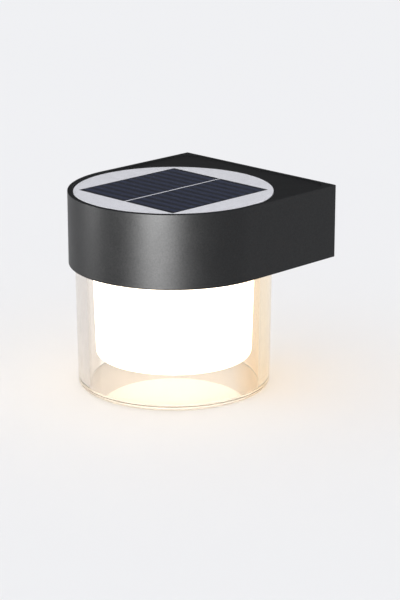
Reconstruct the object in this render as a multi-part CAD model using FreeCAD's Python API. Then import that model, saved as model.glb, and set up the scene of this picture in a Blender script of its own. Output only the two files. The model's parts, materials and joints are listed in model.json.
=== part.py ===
import FreeCAD, Part
import os
from math import cos, radians, sin, tan

# Solar fence light, in millimetres.
# The origin is on the glass's axis, on the plane that the glass stands on. +Z is up, +Y points at
# the wall or fence, -Y is the half-round front, and the light is symmetric about X = 0.

V = FreeCAD.Vector
UP = V(0, 0, 1)
ORIGIN = V(0, 0, 0)

# ---- Driving dimensions --------------------------------------------------------------------

# head shell
HEAD_RADIUS = 60.0              # half-round front, and half the width
HEAD_BACK = 71.2                # rear edge of the shell
HEAD_TOP = 114.0
HEAD_HEIGHT = 42.4
SHELL_WALL = 2.4
BACK_CORNER = 2.0               # upright corners beside the wall
TOP_EDGE = 0.8                  # rounding of the top edge
BOTTOM_EDGE = 0.5
HEAD_BOTTOM = HEAD_TOP - HEAD_HEIGHT
INNER_HALF = HEAD_RADIUS - SHELL_WALL
CEILING = HEAD_TOP - 4.0

# recess in the top, deeper at the front so that rain runs off over the groove
LIP_WIDTH = 2.4
RECESS_FRONT_DEPTH = 1.5
RECESS_BACK_DEPTH = 0.7
RECESS_CORNER = 12.0

# strength of the head: ribs down its straight walls, and webs from the walls to the rear bosses
RIB_PLACES = (12.0, 30.0, 48.0)  # Y of each rib
RIB_REACH = 1.4
RIB_HALF_THICK = 0.6
WEB_HALF_THICK = 0.7
WEB_RISE = 3.0                  # the webs start this far above the rear floor
OVERLAP = 0.5                   # how far a rib or a web runs into the wall that carries it

# hollow back that takes the wall bracket
HOLLOW_HALF = 56.5
BACK_WALL_OUT = 66.6            # face of the back wall that the bracket's screws look at
BACK_WALL_IN = BACK_WALL_OUT - SHELL_WALL
WALL_PLANE = 71.5               # surface that the bracket is screwed to

# solar panel
PANEL_RADIUS = 56.75
PANEL_GAP = 0.35
PANEL_POCKET_FLOOR = HEAD_TOP - 3.2
GASKET_THICK = 0.8
GASKET_WIDTH = 6.0
BACKING_THICK = 1.3
CELL_SIDE = 75.6
CELL_GAP = 1.1
CELL_THICK = 0.3
COVER_THICK = 0.9
COVER_EDGE = 0.3

# glass cup
GLASS_TOP_RADIUS = 56.4
GLASS_FOOT_RADIUS = 55.5
GLASS_SHOULDER = 73.7
GLASS_INNER_TOP = 49.9
GLASS_INNER_FOOT = 49.1
GLASS_FLOOR = 2.1
GLASS_FOOT_ROUND = 2.6
GLASS_INNER_BEVEL = 0.8
GLASS_SHOULDER_BEVEL = 0.4
NECK_RADIUS = 53.0
NECK_TOP = 84.8
NECK_BEVEL = 0.8

# bayonet between the glass and the chassis
LUG_COUNT = 4
LUG_ANGLE = 14.0
LUG_RADIUS = 54.8
LUG_BOTTOM = 79.0
LUG_HEIGHT = 2.4
BAYONET_TURN = 30.0
BAYONET_PLAY = 0.3
BAYONET_STOP_PLAY = 0.5         # degrees left between a lug and its stop
ENTRY_ANGLE = 17.0

# chassis
CHASSIS_PLAY = 0.25
CHASSIS_WALL = 2.0
COLLAR_BOTTOM = 75.2
COLLAR_INNER = 53.4
DECK_BOTTOM = 89.0
DECK_THICK = 2.5
DECK_TOP = DECK_BOTTOM + DECK_THICK
REAR_FLOOR_BOTTOM = 71.9
REAR_FLOOR_THICK = 2.2
REAR_FLOOR_TOP = REAR_FLOOR_BOTTOM + REAR_FLOOR_THICK
REAR_WELL_RADIUS = 57.4         # opening round the glass
REAR_FLOOR_FRONT = 12.0         # the rear floor starts this far behind the glass's axis
SEAL_INNER = 55.2
SEAL_OUTER = 56.9
SEAL_HEIGHT = 1.2

# diffuser cup
DIFFUSER_RADIUS = 46.86         # at the head's underside
DIFFUSER_DRAFT = 1.7            # degrees
DIFFUSER_BOTTOM = 17.0
DIFFUSER_ROUND = 5.5
DIFFUSER_WALL = 2.0
FLANGE_RADIUS = 52.6
FLANGE_THICK = 1.8
FLANGE_SCREW_ANGLES = (30, 150, 270)

# LED board
LED_BOARD_RADIUS = 42.0
BOARD_THICK = 1.6
LED_COUNT = 12
LED_RING_RADIUS = 27.0
LED_LENGTH = 3.5
LED_WIDTH = 2.8
LED_HEIGHT = 0.8
LED_SCREW_ANGLES = (90, 210, 330)

# screws: shank radius, head radius and head height
SCREW_SHANK = 1.2
SCREW_HEAD = 2.2
SCREW_HEAD_HEIGHT = 1.6
SCREW_CHAMFER = 0.5
SCREW_RECESS_REACH = 1.3        # half the length of each arm of the cross
SCREW_RECESS_HALF = 0.3
SCREW_RECESS_DEPTH = 0.9
SCREW_HEAD_ROOM = 0.2
SCREW_SINK = 1.2                # how far the rear screws' heads are let into the rear floor
SCREW_HOLE_PLAY = 0.05
BOSS_RADIUS = 3.2
LOW_BOSS_RADIUS = 2.6
REAR_SCREW_X = 51.0
REAR_SCREW_Y = 60.0
FRONT_SCREW_X = 30.0
FRONT_SCREW_Y = -38.0
CHASSIS_SCREW_LENGTH = 10.0
FLANGE_SCREW_RING = 50.0
LED_SCREW_RING = 36.0
SHORT_SCREW_LENGTH = 5.5
BOARD_SCREW_LENGTH = 4.5

# battery, lying across the deck
BATTERY_RADIUS = 7.1
BATTERY_LENGTH = 48.5
BATTERY_Y = 24.0
BATTERY_AXIS_Z = DECK_TOP + 8.9
NUB_RADIUS = 2.75
NUB_LENGTH = 1.3
HOLDER_WALL = 1.6
HOLDER_HEIGHT = 11.0
CONTACT_THICK = 0.4
CONTACT_GAP = 1.2
CONTACT_HALF_WIDTH = 4.0
CONTACT_HALF_HEIGHT = 5.0
CONTACT_BUMP_RADIUS = 2.4
CELL_PLAY = 0.2
FINGER_NOTCH_HALF = 9.0
FINGER_NOTCH_DEPTH = 4.0        # below the cell's axis

# control board
CONTROL_WIDTH = 50.0
CONTROL_DEPTH = 30.0
CONTROL_Y = -12.0
CONTROL_BOTTOM = DECK_TOP + 3.0
CONTROL_POST_INSET = 3.0        # from the board's edges
CONTROL_CORNER = 1.5

# switch in the rear floor
SWITCH_X = 41.0
SWITCH_Y = 55.0
SWITCH_SIDE = 6.4
SWITCH_HEIGHT = 6.0
SWITCH_BOARD_BOTTOM = 84.0
SWITCH_BOARD_X = 8.0
SWITCH_BOARD_Y = 15.6
SWITCH_POST_OFFSET = 6.2
SWITCH_POST_RADIUS = 1.35
STAKE_RADIUS = 0.8
BUTTON_RADIUS = 3.3
BUTTON_HOLE = 3.6
BUTTON_BOTTOM = 70.7
BUTTON_FLANGE_RADIUS = 4.4
BUTTON_TRAVEL = 1.5
PLUNGER_RADIUS = 1.5
PLUNGER_TOP = 79.2

# wall bracket
BRACKET_HALF_WIDTH = 46.0
BRACKET_LOW = 80.0
BRACKET_HIGH = 106.0
BRACKET_THICK = 1.8
BRACKET_FLANGE = 1.4
BRACKET_CORNER = 3.0
SLOT_X = 35.0
SLOT_LENGTH = 8.0
SLOT_HALF_WIDTH = 2.2
HOOK_X = 18.0
HOOK_WIDTH = 12.0
HOOK_BOTTOM = 91.7
HOOK_ARM_HEIGHT = 3.0
HOOK_TONGUE_TOP = 99.0
HOOK_TONGUE_THICK = 1.9
HOOK_PLAY = 0.3
LIFT = 4.7                      # how far the light lifts before its hooks are free

# leads
WIRE_RADIUS = 0.65
WIRE_SPACING = 2.0
LEAD_HOLE = 2.6


# ---- Plain shapes --------------------------------------------------------------------------

def disc(radius, low, high, x=0.0, y=0.0):
    """Upright cylinder from height low to height high."""
    return Part.makeCylinder(radius, high - low, V(x, y, low), UP)


def ring(outer, inner, low, high):
    """Upright ring about the glass's axis."""
    return disc(outer, low, high).cut(disc(inner, low - 1, high + 1))


def block(x0, x1, y0, y1, z0, z1):
    """Box between two corners."""
    return Part.makeBox(x1 - x0, y1 - y0, z1 - z0, V(x0, y0, z0))


def sector(radius, start, span, low, high):
    """Upright pie slice from angle start, in degrees, anticlockwise seen from above."""
    return Part.makeCylinder(radius, high - low, V(0, 0, low), UP, span).rotate(ORIGIN, UP, start)


def turned(shape, angle):
    """Copy of a shape, turned about the glass's axis."""
    copy = shape.copy()
    copy.rotate(ORIGIN, UP, angle)
    return copy


def ring_of(shape, count, start=0.0):
    """Copies of a shape, evenly spaced about the glass's axis."""
    return [turned(shape, start + i * 360.0 / count) for i in range(count)]


def both_sides(shape):
    """The shape and its mirror image across X = 0."""
    return [shape, shape.mirror(ORIGIN, V(1, 0, 0))]


def fused(shapes):
    """All shapes as one solid, without the seams between them."""
    return shapes[0].multiFuse(shapes[1:]).removeSplitter()


def with_holes(shape, holes):
    """The shape less every hole."""
    return shape.cut(Part.makeCompound(holes))


def corner_arc(before, corner, after, radius):
    """Arc of a radius that rounds a corner of an outline."""
    to_before = (before - corner).normalize()
    to_after = (after - corner).normalize()
    half_angle = to_before.getAngle(to_after) / 2
    tangent = radius / tan(half_angle)
    middle = (to_before + to_after).normalize() * (radius / sin(half_angle) - radius)
    return Part.Arc(corner + to_before * tangent, corner + middle, corner + to_after * tangent)


def rounded_outline(corners):
    """Closed wire through (point, corner radius) pairs."""
    count = len(corners)
    edges = []
    last_end = None
    first_start = None
    for i, (point, radius) in enumerate(corners):
        if radius > 0:
            arc = corner_arc(corners[i - 1][0], point, corners[(i + 1) % count][0], radius)
            start = arc.toShape().Vertexes[0].Point
            end = arc.toShape().Vertexes[-1].Point
            piece = arc.toShape()
        else:
            start = end = point
            piece = None
        if last_end is None:
            first_start = start
        else:
            edges.append(Part.LineSegment(last_end, start).toShape())
        if piece is not None:
            edges.append(piece)
        last_end = end
    edges.append(Part.LineSegment(last_end, first_start).toShape())
    return Part.Wire(edges)


def revolved(corners):
    """Solid of revolution about the glass's axis from (radius, height, corner radius) rows."""
    wire = rounded_outline([(V(r, 0, z), rounding) for r, z, rounding in corners])
    return Part.Face(wire).revolve(ORIGIN, UP, 360)


def d_block(inset, back, corner, low, high):
    """Upright block with the head's D outline, drawn in by inset, with its back edge at back."""
    half = HEAD_RADIUS - inset
    side_end = back - corner
    turn = corner * (1 - cos(radians(45)))
    left, right = V(-half, 0, low), V(half, 0, low)
    edges = [
        Part.Arc(left, V(0, -half, low), right).toShape(),
        Part.LineSegment(right, V(half, side_end, low)).toShape(),
        Part.Arc(V(half, side_end, low), V(half - turn, back - turn, low),
                 V(half - corner, back, low)).toShape(),
        Part.LineSegment(V(half - corner, back, low), V(-half + corner, back, low)).toShape(),
        Part.Arc(V(-half + corner, back, low), V(-half + turn, back - turn, low),
                 V(-half, side_end, low)).toShape(),
        Part.LineSegment(V(-half, side_end, low), left).toShape(),
    ]
    return Part.Face(Part.Wire(edges)).extrude(V(0, 0, high - low))


def edges_at_height(shape, height):
    """Edges that lie wholly in one level plane."""
    return [e for e in shape.Edges
            if abs(e.BoundBox.ZMin - height) < 0.01 and abs(e.BoundBox.ZMax - height) < 0.01]


def screw(x, y, seat, length):
    """Pan-head screw driven upwards, its head under the height seat, with a cross recess."""
    head = disc(SCREW_HEAD, seat - SCREW_HEAD_HEIGHT, seat, x, y)
    low = seat - SCREW_HEAD_HEIGHT
    head = head.makeChamfer(SCREW_CHAMFER, edges_at_height(head, low))
    shank = disc(SCREW_SHANK, seat, seat + length, x, y)
    shank = shank.makeChamfer(SCREW_CHAMFER, edges_at_height(shank, seat + length))
    reach, half, deep = SCREW_RECESS_REACH, SCREW_RECESS_HALF, low + SCREW_RECESS_DEPTH
    slot = block(x - reach, x + reach, y - half, y + half, low - 1, deep)
    cross = block(x - half, x + half, y - reach, y + reach, low - 1, deep)
    return head.fuse(shank).cut(slot).cut(cross).removeSplitter()


def screw_hole(x, y, low, high):
    """Hole that a screw's shank fills."""
    return disc(SCREW_SHANK + SCREW_HOLE_PLAY, low, high, x, y)


def lead(points):
    """One wire along straight runs and the largest arcs that they allow."""
    edges = []
    start = points[0]
    for before, corner, after in zip(points, points[1:], points[2:]):
        turn = (corner - before).getAngle(after - corner)
        shorter = min((corner - before).Length, (after - corner).Length)
        radius = 0.45 * shorter / tan(turn / 2)
        arc = corner_arc(before, corner, after, radius).toShape()
        edges.append(Part.LineSegment(start, arc.Vertexes[0].Point).toShape())
        edges.append(arc)
        start = arc.Vertexes[-1].Point
    edges.append(Part.LineSegment(start, points[-1]).toShape())
    path = Part.Wire(edges)
    section = Part.Wire(Part.makeCircle(WIRE_RADIUS, points[0], points[1] - points[0]))
    return path.makePipeShell([section], True, True)


def twin_lead(points, side):
    """Two wires side by side, each half a spacing from the route."""
    offset = side.normalize() * (WIRE_SPACING / 2)
    return [lead([p + offset for p in points]), lead([p - offset for p in points])]


# ---- Head shell ----------------------------------------------------------------------------

def recess_tool():
    """What is cut away inside the lip: its floor rises a little towards the wall."""
    tool = d_block(LIP_WIDTH, HEAD_BACK - LIP_WIDTH, RECESS_CORNER,
                   HEAD_TOP - RECESS_FRONT_DEPTH, HEAD_TOP + 1)
    rise = RECESS_FRONT_DEPTH - RECESS_BACK_DEPTH
    length = HEAD_RADIUS + HEAD_BACK
    low = HEAD_TOP - RECESS_FRONT_DEPTH
    front, back = -HEAD_RADIUS, HEAD_BACK
    wedge = Part.makePolygon([V(-HEAD_RADIUS, front, low), V(-HEAD_RADIUS, front + length, low),
                              V(-HEAD_RADIUS, back, low + rise), V(-HEAD_RADIUS, front, low)])
    return tool.cut(Part.Face(wedge).extrude(V(2 * HEAD_RADIUS, 0, 0)))


def shell_bosses():
    """Four posts under the ceiling that the chassis screws bite into, with their side webs."""
    rear = disc(BOSS_RADIUS, REAR_FLOOR_TOP, CEILING + 1, REAR_SCREW_X, REAR_SCREW_Y)
    rear_web = block(REAR_SCREW_X, INNER_HALF + OVERLAP,
                     REAR_SCREW_Y - WEB_HALF_THICK, REAR_SCREW_Y + WEB_HALF_THICK,
                     REAR_FLOOR_TOP + WEB_RISE, CEILING + 1)
    front = disc(BOSS_RADIUS, DECK_TOP, CEILING + 1, FRONT_SCREW_X, FRONT_SCREW_Y)
    return both_sides(rear) + both_sides(rear_web) + both_sides(front)


def shell_ribs():
    """Ribs down the inside of the straight walls, above the deck."""
    ribs = []
    for y in RIB_PLACES:
        rib = block(INNER_HALF - RIB_REACH, INNER_HALF + OVERLAP, y - RIB_HALF_THICK, y + RIB_HALF_THICK,
                    DECK_TOP + 2, CEILING + 1)
        ribs += both_sides(rib)
    return ribs


def head_shell():
    """D-shaped moulding, open below, with the panel pocket on top and the hollow back."""
    body = d_block(0, HEAD_BACK, BACK_CORNER, HEAD_BOTTOM, HEAD_TOP)
    body = body.makeFillet(TOP_EDGE, edges_at_height(body, HEAD_TOP))
    body = body.makeFillet(BOTTOM_EDGE, edges_at_height(body, HEAD_BOTTOM))
    cavity = d_block(SHELL_WALL, BACK_WALL_IN, 2.0, HEAD_BOTTOM - 1, CEILING)
    hollow_back = block(-HOLLOW_HALF, HOLLOW_HALF, BACK_WALL_OUT, HEAD_BACK + 1,
                        HEAD_BOTTOM - 1, CEILING)
    body = body.cut(cavity).cut(hollow_back).cut(recess_tool())
    pocket_floor = disc(PANEL_RADIUS + SHELL_WALL, PANEL_POCKET_FLOOR - SHELL_WALL,
                        PANEL_POCKET_FLOOR + OVERLAP)
    body = fused([body, pocket_floor] + shell_bosses() + shell_ribs())
    pocket = disc(PANEL_RADIUS + PANEL_GAP, PANEL_POCKET_FLOOR, HEAD_TOP + 1)
    lead_hole = disc(LEAD_HOLE, CEILING - 5, HEAD_TOP, PANEL_LEAD_X, PANEL_LEAD_Y)
    window_low = HOOK_BOTTOM - LIFT - HOOK_PLAY
    window_high = HOOK_BOTTOM + HOOK_ARM_HEIGHT + HOOK_PLAY
    window = block(HOOK_X - HOOK_WIDTH / 2 - 0.5, HOOK_X + HOOK_WIDTH / 2 + 0.5,
                   BACK_WALL_IN - 1, BACK_WALL_OUT + 1, window_low, window_high)
    rear_pilot = screw_hole(REAR_SCREW_X, REAR_SCREW_Y, REAR_FLOOR_TOP - 1,
                            REAR_FLOOR_TOP + CHASSIS_SCREW_LENGTH)
    front_pilot = screw_hole(FRONT_SCREW_X, FRONT_SCREW_Y, DECK_TOP - 1,
                             DECK_TOP + CHASSIS_SCREW_LENGTH)
    holes = [pocket, lead_hole]
    for hole in (window, rear_pilot, front_pilot):
        holes += both_sides(hole)
    return with_holes(body, holes)


# ---- Solar panel ---------------------------------------------------------------------------

PANEL_LEAD_X = -6.0
PANEL_LEAD_Y = -4.0
BACKING_BOTTOM = PANEL_POCKET_FLOOR + GASKET_THICK
BACKING_TOP = BACKING_BOTTOM + BACKING_THICK


def panel_gasket():
    return ring(PANEL_RADIUS - 0.4, PANEL_RADIUS - GASKET_WIDTH, PANEL_POCKET_FLOOR, BACKING_BOTTOM)


def panel_backing():
    """Silver disc that carries the cells."""
    return disc(PANEL_RADIUS, BACKING_BOTTOM, BACKING_TOP)


def solar_cells():
    """Two half-cells that make a square, with the backing showing between them."""
    half = CELL_SIDE / 2
    cell = block(CELL_GAP / 2, half, -half, half, BACKING_TOP, BACKING_TOP + CELL_THICK)
    return both_sides(cell)


def panel_cover():
    """Clear resin over the backing and the cells, with a softened edge."""
    sheet = disc(PANEL_RADIUS, BACKING_TOP, BACKING_TOP + COVER_THICK)
    sheet = sheet.makeFillet(COVER_EDGE, edges_at_height(sheet, BACKING_TOP + COVER_THICK))
    return with_holes(sheet, solar_cells())


def panel_leads():
    top = V(PANEL_LEAD_X, PANEL_LEAD_Y, BACKING_BOTTOM)
    plug = V(PLUG_XS[1], PLUG_Y, PLUG_TOP)
    route = [top, V(top.x, top.y, top.z - 6), V(plug.x, plug.y, plug.z + 2.4), plug]
    return twin_lead(route, V(1, 0, 0))


# ---- Chassis -------------------------------------------------------------------------------

def bayonet_channels():
    """What is cut from the collar: for each lug an entry slot and the channel that it turns into."""
    radius = LUG_RADIUS + BAYONET_PLAY
    low = LUG_BOTTOM - BAYONET_PLAY
    high = LUG_BOTTOM + LUG_HEIGHT + BAYONET_PLAY
    channel_end = LUG_ANGLE / 2 + BAYONET_STOP_PLAY
    channel_start = -BAYONET_TURN - ENTRY_ANGLE / 2
    channel = sector(radius, channel_start, channel_end - channel_start, low, high)
    entry = sector(radius, channel_start, ENTRY_ANGLE, COLLAR_BOTTOM - 1, high)
    tool = channel.fuse(entry)
    return ring_of(tool, LUG_COUNT, 360.0 / LUG_COUNT / 2)


def switch_posts():
    """Two posts that the switch board is staked to."""
    posts = []
    board_top = SWITCH_BOARD_BOTTOM + BOARD_THICK
    for y in switch_post_ys():
        posts.append(disc(SWITCH_POST_RADIUS, REAR_FLOOR_TOP - 1, SWITCH_BOARD_BOTTOM, SWITCH_X, y))
        posts.append(disc(STAKE_RADIUS, REAR_FLOOR_TOP, board_top + 0.5, SWITCH_X, y))
        posts.append(disc(SWITCH_POST_RADIUS, board_top, board_top + 0.6, SWITCH_X, y))
    return posts


def switch_post_ys():
    return SWITCH_Y - SWITCH_POST_OFFSET, SWITCH_Y + SWITCH_POST_OFFSET


def control_posts():
    """Where the control board's four posts stand."""
    half_x = CONTROL_WIDTH / 2 - CONTROL_POST_INSET
    half_y = CONTROL_DEPTH / 2 - CONTROL_POST_INSET
    return [(sx * half_x, CONTROL_Y + sy * half_y) for sx in (-1, 1) for sy in (-1, 1)]


def flange_screw_places():
    return [place_on_ring(FLANGE_SCREW_RING, angle) for angle in FLANGE_SCREW_ANGLES]


def led_screw_places():
    return [place_on_ring(LED_SCREW_RING, angle) for angle in LED_SCREW_ANGLES]


def place_on_ring(radius, angle):
    return radius * cos(radians(angle)), radius * sin(radians(angle))


def chassis():
    """Collar with the bayonet, deck over it, and the well and floor behind the glass."""
    outline = d_block(SHELL_WALL + CHASSIS_PLAY, BACK_WALL_IN - CHASSIS_PLAY, 2.0,
                      REAR_FLOOR_BOTTOM, DECK_TOP)
    well_outer = REAR_WELL_RADIUS + CHASSIS_WALL
    collar = ring(well_outer, COLLAR_INNER, COLLAR_BOTTOM, DECK_BOTTOM)
    deck = disc(well_outer, DECK_BOTTOM, DECK_TOP)
    well = ring(well_outer, REAR_WELL_RADIUS, REAR_FLOOR_BOTTOM, COLLAR_BOTTOM)
    behind = block(-HEAD_RADIUS, HEAD_RADIUS, REAR_FLOOR_FRONT, HEAD_BACK, 0, HEAD_TOP)
    floor_plate = outline.common(block(-HEAD_RADIUS, HEAD_RADIUS, REAR_FLOOR_FRONT, HEAD_BACK,
                                       REAR_FLOOR_BOTTOM, REAR_FLOOR_TOP))
    floor_plate = floor_plate.cut(disc(REAR_WELL_RADIUS, 0, HEAD_TOP))
    round_part = fused([collar, deck, well.common(behind)]).common(outline)
    posts = [disc(LOW_BOSS_RADIUS, DECK_TOP - 1, CONTROL_BOTTOM, x, y) for x, y in control_posts()]
    for x, y in flange_screw_places() + led_screw_places():
        posts.append(disc(LOW_BOSS_RADIUS, DECK_TOP - 1, DECK_BOTTOM + SHORT_SCREW_LENGTH, x, y))
    body = fused([round_part, floor_plate] + posts + switch_posts())
    holes = bayonet_channels()
    holes += [screw_hole(x, y, CONTROL_BOTTOM - 5, CONTROL_BOTTOM + 1) for x, y in control_posts()]
    for x, y in flange_screw_places() + led_screw_places():
        holes.append(screw_hole(x, y, DECK_BOTTOM - 1, DECK_BOTTOM + SHORT_SCREW_LENGTH - 1))
    head_room = SCREW_HEAD + SCREW_HEAD_ROOM
    for hole in (screw_hole(REAR_SCREW_X, REAR_SCREW_Y, 0, HEAD_TOP),
                 disc(head_room, 0, REAR_FLOOR_BOTTOM + SCREW_SINK, REAR_SCREW_X, REAR_SCREW_Y),
                 screw_hole(FRONT_SCREW_X, FRONT_SCREW_Y, 0, HEAD_TOP),
                 disc(head_room, 0, DECK_BOTTOM + SCREW_HEAD_HEIGHT, FRONT_SCREW_X, FRONT_SCREW_Y)):
        holes += both_sides(hole)
    holes.append(disc(BUTTON_HOLE, 0, REAR_FLOOR_TOP + 1, SWITCH_X, SWITCH_Y))
    holes.append(disc(LEAD_HOLE, DECK_BOTTOM - 1, DECK_TOP + 1, LED_LEAD_X, LED_LEAD_Y))
    return with_holes(body, holes)


def chassis_screws():
    """Two screws in the rear floor and two in the deck, all driven up into the head shell."""
    rear = screw(REAR_SCREW_X, REAR_SCREW_Y, REAR_FLOOR_BOTTOM + SCREW_SINK, CHASSIS_SCREW_LENGTH)
    front = screw(FRONT_SCREW_X, FRONT_SCREW_Y, DECK_BOTTOM + SCREW_HEAD_HEIGHT,
                  CHASSIS_SCREW_LENGTH)
    return both_sides(rear) + both_sides(front)


def glass_seal():
    """Silicone ring under the collar, just above the glass's shoulder."""
    seal = ring(SEAL_OUTER, SEAL_INNER, COLLAR_BOTTOM - SEAL_HEIGHT, COLLAR_BOTTOM)
    return seal.makeChamfer(0.3, edges_at_height(seal, COLLAR_BOTTOM - SEAL_HEIGHT))


# ---- Glass and diffuser --------------------------------------------------------------------

def glass_cup():
    """Thick clear cup with a flat foot, a shoulder, a neck and four bayonet lugs."""
    cup = revolved([
        (0, 0, 0),
        (GLASS_FOOT_RADIUS, 0, GLASS_FOOT_ROUND),
        (GLASS_TOP_RADIUS, GLASS_SHOULDER - GLASS_SHOULDER_BEVEL, 0),
        (GLASS_TOP_RADIUS - GLASS_SHOULDER_BEVEL, GLASS_SHOULDER, 0),
        (NECK_RADIUS, GLASS_SHOULDER, 0),
        (NECK_RADIUS, NECK_TOP - NECK_BEVEL, 0),
        (NECK_RADIUS - NECK_BEVEL, NECK_TOP, 0),
        (GLASS_INNER_TOP + NECK_BEVEL, NECK_TOP, 0),
        (GLASS_INNER_TOP, NECK_TOP - NECK_BEVEL, 0),
        (GLASS_INNER_FOOT, GLASS_FLOOR + GLASS_INNER_BEVEL, 0),
        (GLASS_INNER_FOOT - GLASS_INNER_BEVEL, GLASS_FLOOR, 0),
        (0, GLASS_FLOOR, 0),
    ])
    lug = sector(LUG_RADIUS, -LUG_ANGLE / 2, LUG_ANGLE, LUG_BOTTOM, LUG_BOTTOM + LUG_HEIGHT)
    lug = lug.cut(disc(NECK_RADIUS - 0.5, LUG_BOTTOM - 1, LUG_BOTTOM + LUG_HEIGHT + 1))
    return fused([cup] + ring_of(lug, LUG_COUNT, 360.0 / LUG_COUNT / 2))


def diffuser_radius(height):
    """Outer radius of the tapering diffuser at a height."""
    return DIFFUSER_RADIUS + (height - HEAD_BOTTOM) * tan(radians(DIFFUSER_DRAFT))


def diffuser_cup():
    """Opal cup, closed below, hung from the deck by its flange."""
    flange_bottom = DECK_BOTTOM - FLANGE_THICK
    inner_low = DIFFUSER_BOTTOM + DIFFUSER_WALL
    cup = revolved([
        (0, DIFFUSER_BOTTOM, 0),
        (diffuser_radius(DIFFUSER_BOTTOM), DIFFUSER_BOTTOM, DIFFUSER_ROUND),
        (diffuser_radius(flange_bottom), flange_bottom, 0),
        (FLANGE_RADIUS, flange_bottom, 0),
        (FLANGE_RADIUS, DECK_BOTTOM, 0),
        (diffuser_radius(DECK_BOTTOM) - DIFFUSER_WALL, DECK_BOTTOM, 0),
        (diffuser_radius(inner_low) - DIFFUSER_WALL, inner_low, DIFFUSER_ROUND - DIFFUSER_WALL),
        (0, inner_low, 0),
    ])
    holes = [screw_hole(x, y, flange_bottom - 1, DECK_BOTTOM + 1) for x, y in flange_screw_places()]
    for side in (-1, 1):
        holes.append(disc(SCREW_HEAD + SCREW_HEAD_ROOM, flange_bottom - 1, DECK_BOTTOM + 1,
                          side * FRONT_SCREW_X, FRONT_SCREW_Y))
    return with_holes(cup, holes)


def diffuser_screws():
    seat = DECK_BOTTOM - FLANGE_THICK
    return [screw(x, y, seat, SHORT_SCREW_LENGTH) for x, y in flange_screw_places()]


# ---- LED board -----------------------------------------------------------------------------

LED_LEAD_X = -20.0
LED_LEAD_Y = 8.0
LED_BOARD_BOTTOM = DECK_BOTTOM - BOARD_THICK


def led_board():
    """Round board under the deck, inside the mouth of the diffuser."""
    board = disc(LED_BOARD_RADIUS, LED_BOARD_BOTTOM, DECK_BOTTOM)
    holes = [screw_hole(x, y, 0, HEAD_TOP) for x, y in led_screw_places()]
    holes.append(disc(LEAD_HOLE, 0, HEAD_TOP, LED_LEAD_X, LED_LEAD_Y))
    return with_holes(board, holes)


def led_chips():
    """A ring of LEDs that shine down into the diffuser."""
    chip = block(LED_RING_RADIUS - LED_WIDTH / 2, LED_RING_RADIUS + LED_WIDTH / 2,
                 -LED_LENGTH / 2, LED_LENGTH / 2, LED_BOARD_BOTTOM - LED_HEIGHT, LED_BOARD_BOTTOM)
    return ring_of(chip, LED_COUNT, 180.0 / LED_COUNT)


def led_board_screws():
    return [screw(x, y, LED_BOARD_BOTTOM, SHORT_SCREW_LENGTH) for x, y in led_screw_places()]


def led_leads():
    plug = V(PLUG_XS[0], PLUG_Y, PLUG_TOP)
    route = [plug, V(plug.x, plug.y, plug.z + 2.4), V(LED_LEAD_X, LED_LEAD_Y, PLUG_TOP - 4),
             V(LED_LEAD_X, LED_LEAD_Y, LED_BOARD_BOTTOM)]
    return twin_lead(route, V(1, 0, 0))


# ---- Battery -------------------------------------------------------------------------------

def battery_holder():
    """Open trough with end walls, fixed to the deck."""
    half_length = BATTERY_LENGTH / 2 + NUB_LENGTH + CONTACT_THICK + CONTACT_GAP + HOLDER_WALL
    half_width = BATTERY_RADIUS + HOLDER_WALL
    tray = block(-half_length, half_length, BATTERY_Y - half_width, BATTERY_Y + half_width,
                 DECK_TOP, DECK_TOP + HOLDER_HEIGHT)
    room = BATTERY_RADIUS + CELL_PLAY
    trough = Part.makeCylinder(room, 2 * (half_length - HOLDER_WALL),
                               V(HOLDER_WALL - half_length, BATTERY_Y, BATTERY_AXIS_Z), V(1, 0, 0))
    above = block(HOLDER_WALL - half_length, half_length - HOLDER_WALL,
                  BATTERY_Y - room, BATTERY_Y + room, BATTERY_AXIS_Z, HEAD_TOP)
    finger_notch = block(-FINGER_NOTCH_HALF, FINGER_NOTCH_HALF,
                         BATTERY_Y - HEAD_RADIUS, BATTERY_Y + HEAD_RADIUS,
                         BATTERY_AXIS_Z - FINGER_NOTCH_DEPTH, HEAD_TOP)
    return with_holes(tray, [trough, above, finger_notch])


def battery_cell():
    """Rechargeable cell of AA size, with its positive nub."""
    x0 = -BATTERY_LENGTH / 2
    can = Part.makeCylinder(BATTERY_RADIUS, BATTERY_LENGTH, V(x0, BATTERY_Y, BATTERY_AXIS_Z), V(1, 0, 0))
    can = can.makeChamfer(0.4, [e for e in can.Edges if e.BoundBox.XLength < 0.01])
    nub = Part.makeCylinder(NUB_RADIUS, NUB_LENGTH + 0.5,
                            V(-x0 - 0.5, BATTERY_Y, BATTERY_AXIS_Z), V(1, 0, 0))
    return fused([can, nub])


def battery_contacts():
    """Sprung strips against the end walls, one at each end of the cell."""
    wall_x = BATTERY_LENGTH / 2 + NUB_LENGTH + CONTACT_THICK + CONTACT_GAP
    shapes = []
    near = CONTACT_GAP + CONTACT_THICK
    for side, reach in ((1, near), (-1, near + NUB_LENGTH)):
        tab = block(wall_x - CONTACT_THICK, wall_x,
                    BATTERY_Y - CONTACT_HALF_WIDTH, BATTERY_Y + CONTACT_HALF_WIDTH,
                    BATTERY_AXIS_Z - CONTACT_HALF_HEIGHT, BATTERY_AXIS_Z + CONTACT_HALF_HEIGHT)
        bump = Part.makeCylinder(CONTACT_BUMP_RADIUS, reach,
                                 V(wall_x - reach, BATTERY_Y, BATTERY_AXIS_Z), V(1, 0, 0))
        contact = fused([tab, bump])
        shapes.append(contact if side > 0 else contact.mirror(ORIGIN, V(1, 0, 0)))
    return shapes


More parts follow.
